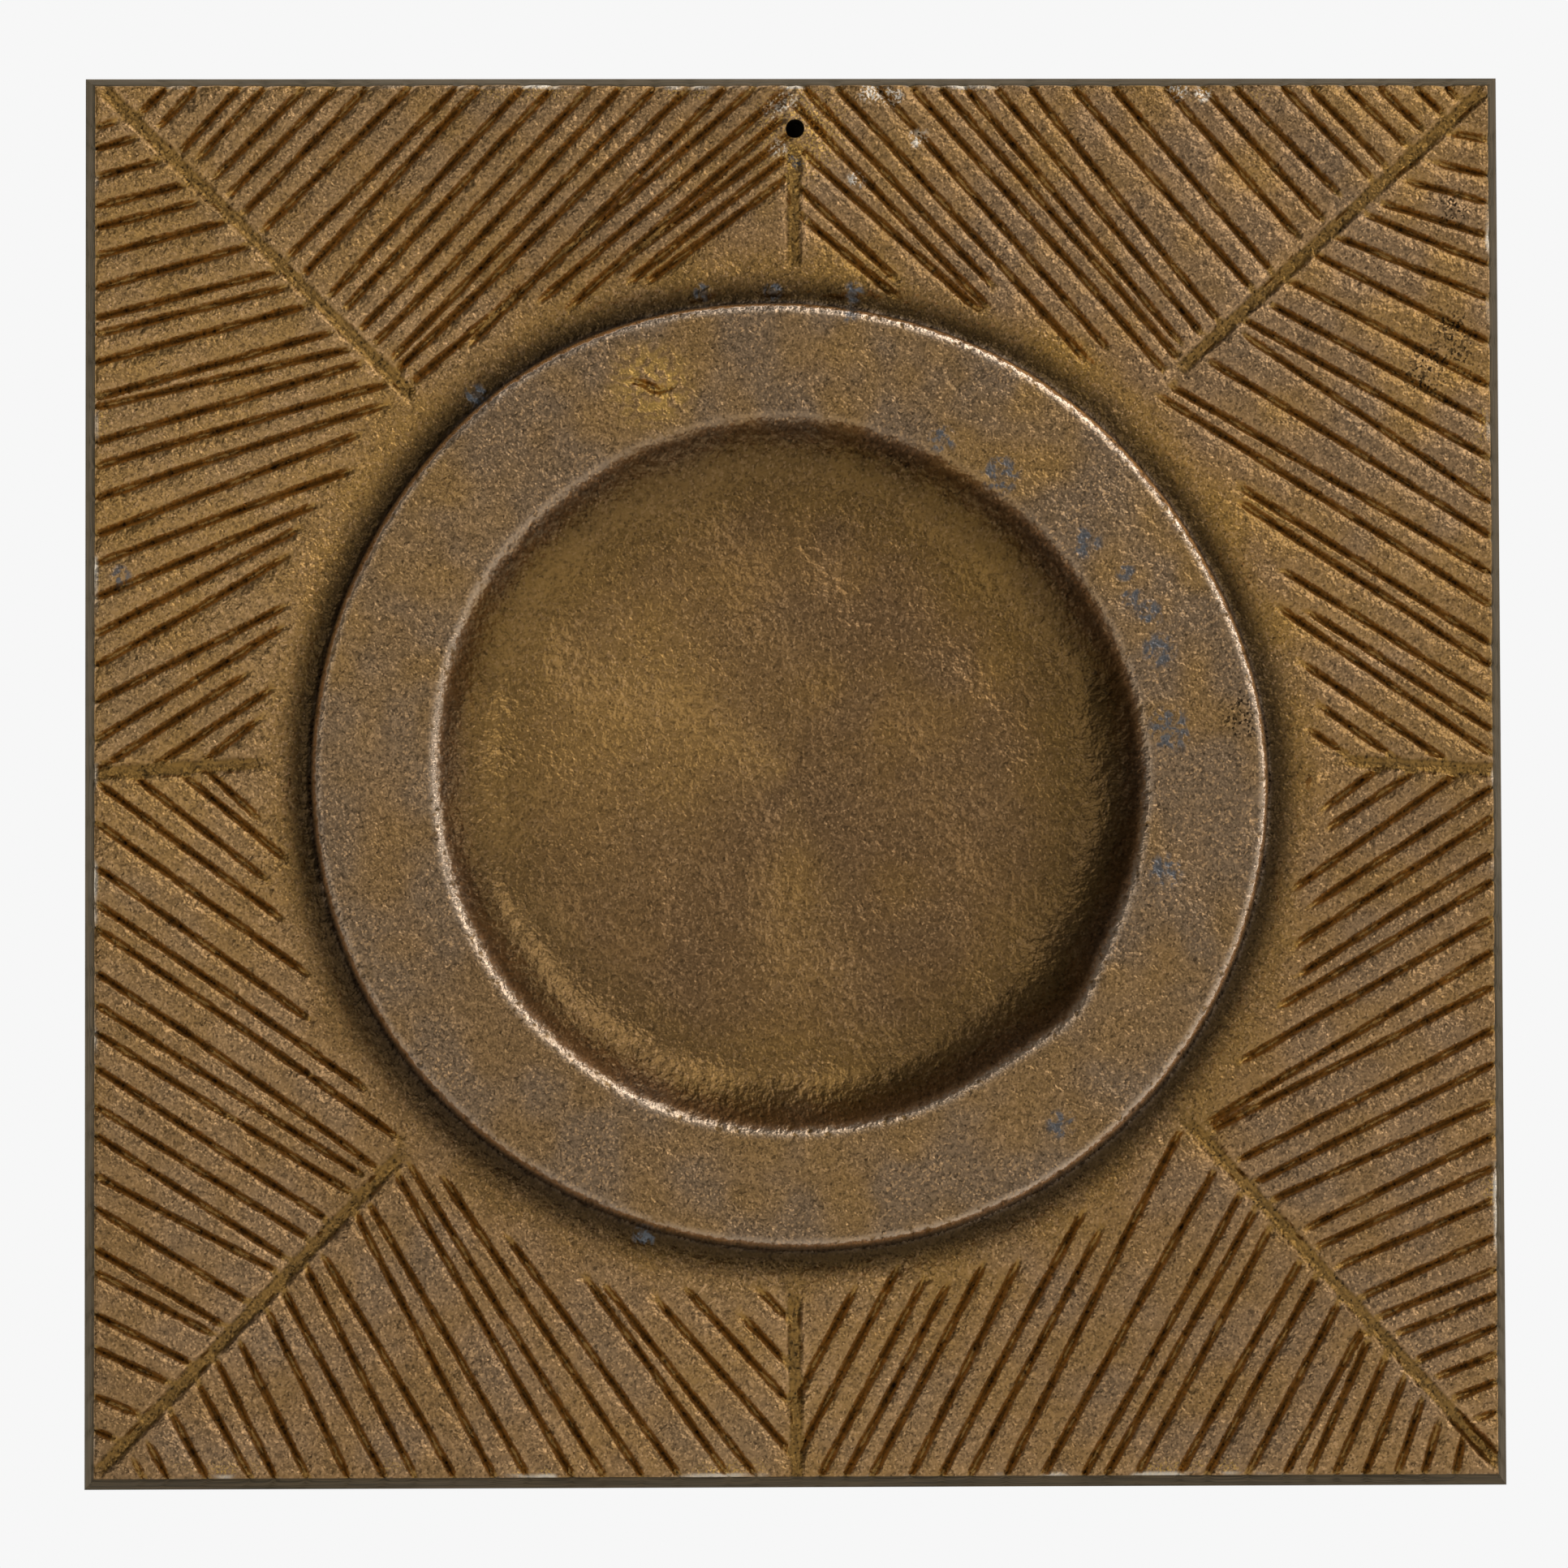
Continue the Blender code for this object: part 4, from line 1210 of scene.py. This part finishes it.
def near(x, z, reach):
    """A mask that is 1 at a place on the face and falls to 0 at its reach."""
    ends = {0: on_face, 1: (x * MM, z * MM, 0)}
    away = on_face.node("VectorMath", {"operation": "DISTANCE"}, ends, "Value")
    return away.rise(reach * MM, 0.3 * reach * MM)

def with_specks(colour):
    """Blue-grey specks first, then gold round the nail, the pit and the edge, then chips to bare metal."""
    blue = fact("old_blue")
    specks = (pebbles.rise(0.56, 0.42) + blue.rise(0.5, 1.0) * 0.4) * blue.rise(0.2, 0.6)
    handled = mottle.rise(0.2, 0.7)
    gold = grain.rise(0.5, 0.35) * (near(*GOLD_ROUND_NAIL) + from_side.rise(4.0, 0.5) * handled)
    halo = near(*GOLD_ROUND_PIT) * pebbles.rise(0.62, 0.4)
    knocks = (pebbles * 0.5 + grain * 0.5).rise(0.52, 0.44) * fact("knocked").rise(0.25, 0.6)
    chips = knocks * 0.7 + from_side.rise(0.9, 0.25) * handled * 0.7
    coloured = (specks * 0.7).at_most(0.8).tint(colour, BLUE_GREY)
    coloured = ((gold + halo * 0.8).at_most(1.0) * 0.8).tint(coloured, GOLD)
    return chips.at_most(0.9).tint(coloured, BARE_METAL)

face_colour = with_specks(face_colour)
print("With specks it uses", len(bronze.node_tree.nodes), "nodes")

# %% [markdown]
# ## Joining the finish
# Only the pebbles are bump: the grain and the sand are finer than a pixel, so their colour is enough. The
# dish is smoother than the rest. Along the painted highlights of the shoulder and the lip the metal is also
# smoother and more metallic than the skin, and pores are rougher.

# %% Join the finish
def bumped(relief):
    """A normal from a relief in mm."""
    return relief.node("Bump", {}, {"Height": relief, "Distance": MM, "Strength": 1.0})

def join(shader, sockets):
    """Leads each wire into the shader's socket of that name."""
    for name, wire in sockets.items():
        shader.id_data.links.new(wire.socket, shader.inputs[name])

join(bronze_shader, {
    "Base Color": face_colour,
    "Roughness": 0.4 - grain * 0.12 - highlit_and_worn * 0.1 + pores * 0.2,
    "Metallic": 0.88 + highlit_and_worn * 0.1,
    "Normal": bumped(pebbles * (0.46 - in_dish * 0.14)),
})
print("The finish has", len(bronze.node_tree.nodes), "nodes")

# %% [markdown]
# ## Filed sides
# The foundry filed the four sides after casting. The file's strokes run along the edge, so the noise is
# stretched along x on the top and bottom sides and along z on the left and right ones. The metal there is
# darker and greyer. Only the triangles that face sideways take this second finish.

# %% Filed sides
SIDE_BROWN = paint(104, 90, 70)
SIDE_DARK = paint(60, 52, 39)
EDGE_BROWN = paint(234, 224, 208)

# noise waves a metre along x, y and z, for strokes along x and along z
FILED_ALONG = ((60, 1600, 1600), (1600, 1600, 60))
METAL_SHARE = 0.9
SIDEWAYS_BELOW = 0.7

filed_bronze, filed_shader, side_place = open_material("filed bronze")

def file_strokes(place):
    """Noise stretched along the edge; the wider of |x| and |z| says which side it is."""
    x, z = parted(place)
    along_x, along_z = (
        place.node("VectorMath", {"operation": "MULTIPLY"}, {0: place, 1: scale}) for scale in FILED_ALONG
    )
    stretched = place.node("Mix", {"data_type": "VECTOR"}, {0: abs(x) > abs(z), 4: along_x, 5: along_z}, 1)
    return place.node("TexNoise", {}, {"Vector": stretched, "Scale": 1.0, "Detail": 2.0})

filing = file_strokes(side_place)
join(filed_shader, {
    "Base Color": filing.rise(0.35, 0.65).tint(SIDE_DARK, SIDE_BROWN),
    "Roughness": 0.4 + filing * 0.25,
    "Normal": bumped(filing * 0.1),
})
filed_shader.inputs["Metallic"].default_value = METAL_SHARE
filed_shader.inputs["Specular Tint"].default_value = EDGE_BROWN

def dress_plaque():
    """The cast finish on face and back, the filed one on the strips where a triangle faces sideways."""
    mesh = plaque.data
    mesh.materials.append(bronze)
    mesh.materials.append(filed_bronze)
    normals = np.empty(3 * len(mesh.polygons), np.float32)
    mesh.polygon_normals.foreach_get("vector", normals)
    in_strips = (triangles >= len(flat_points)).any(axis=1)
    sideways = in_strips & (np.abs(normals.reshape(-1, 3)[:, 1]) < SIDEWAYS_BELOW)
    mesh.polygons.foreach_set("material_index", sideways.astype(np.int32))
    return int(sideways.sum())

print(dress_plaque(), "triangles on the filed sides")

# %% [markdown]
# ## The dark behind the nail hole
# The photograph's nail hole is dark, because no light reaches the wall behind it. A small dark disc flat on
# the back stands for that bit of wall. It belongs to the stage, like the floor, and not to the plaque.

# %% Dark behind the hole
SHADOW_RADIUS = 2.6 * MM
SHADOW_GAP = 0.2 * MM
SHADOW_SIDES = 24
SHADOW_BROWN = paint(40, 32, 24)
SHADOW_ROUGHNESS = 0.9

def make_hole_shadow():
    """A flat disc a little behind the plaque's back, with a dull dark paint."""
    rim = circle(NAIL_HOLE_PLACE, SHADOW_RADIUS, SHADOW_SIDES)
    rim = np.insert(rim, 1, SHADOW_GAP, axis=1)
    mesh = bpy.data.meshes.new("wall_in_shadow")
    mesh.from_pydata(rim.tolist(), [], [tuple(range(SHADOW_SIDES))])
    dark, dark_shader, _ = open_material("wall in shadow")
    dark_shader.inputs["Base Color"].default_value = SHADOW_BROWN
    dark_shader.inputs["Roughness"].default_value = SHADOW_ROUGHNESS
    mesh.materials.append(dark)
    shadow = bpy.data.objects.new("wall_in_shadow", mesh)
    bpy.context.scene.collection.objects.link(shadow)

make_hole_shadow()
print("The disc behind the hole is", in_mm(2 * SHADOW_RADIUS), "mm across")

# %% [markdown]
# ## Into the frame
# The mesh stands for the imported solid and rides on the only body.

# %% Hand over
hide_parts("plaque")
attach(plaque, "root")
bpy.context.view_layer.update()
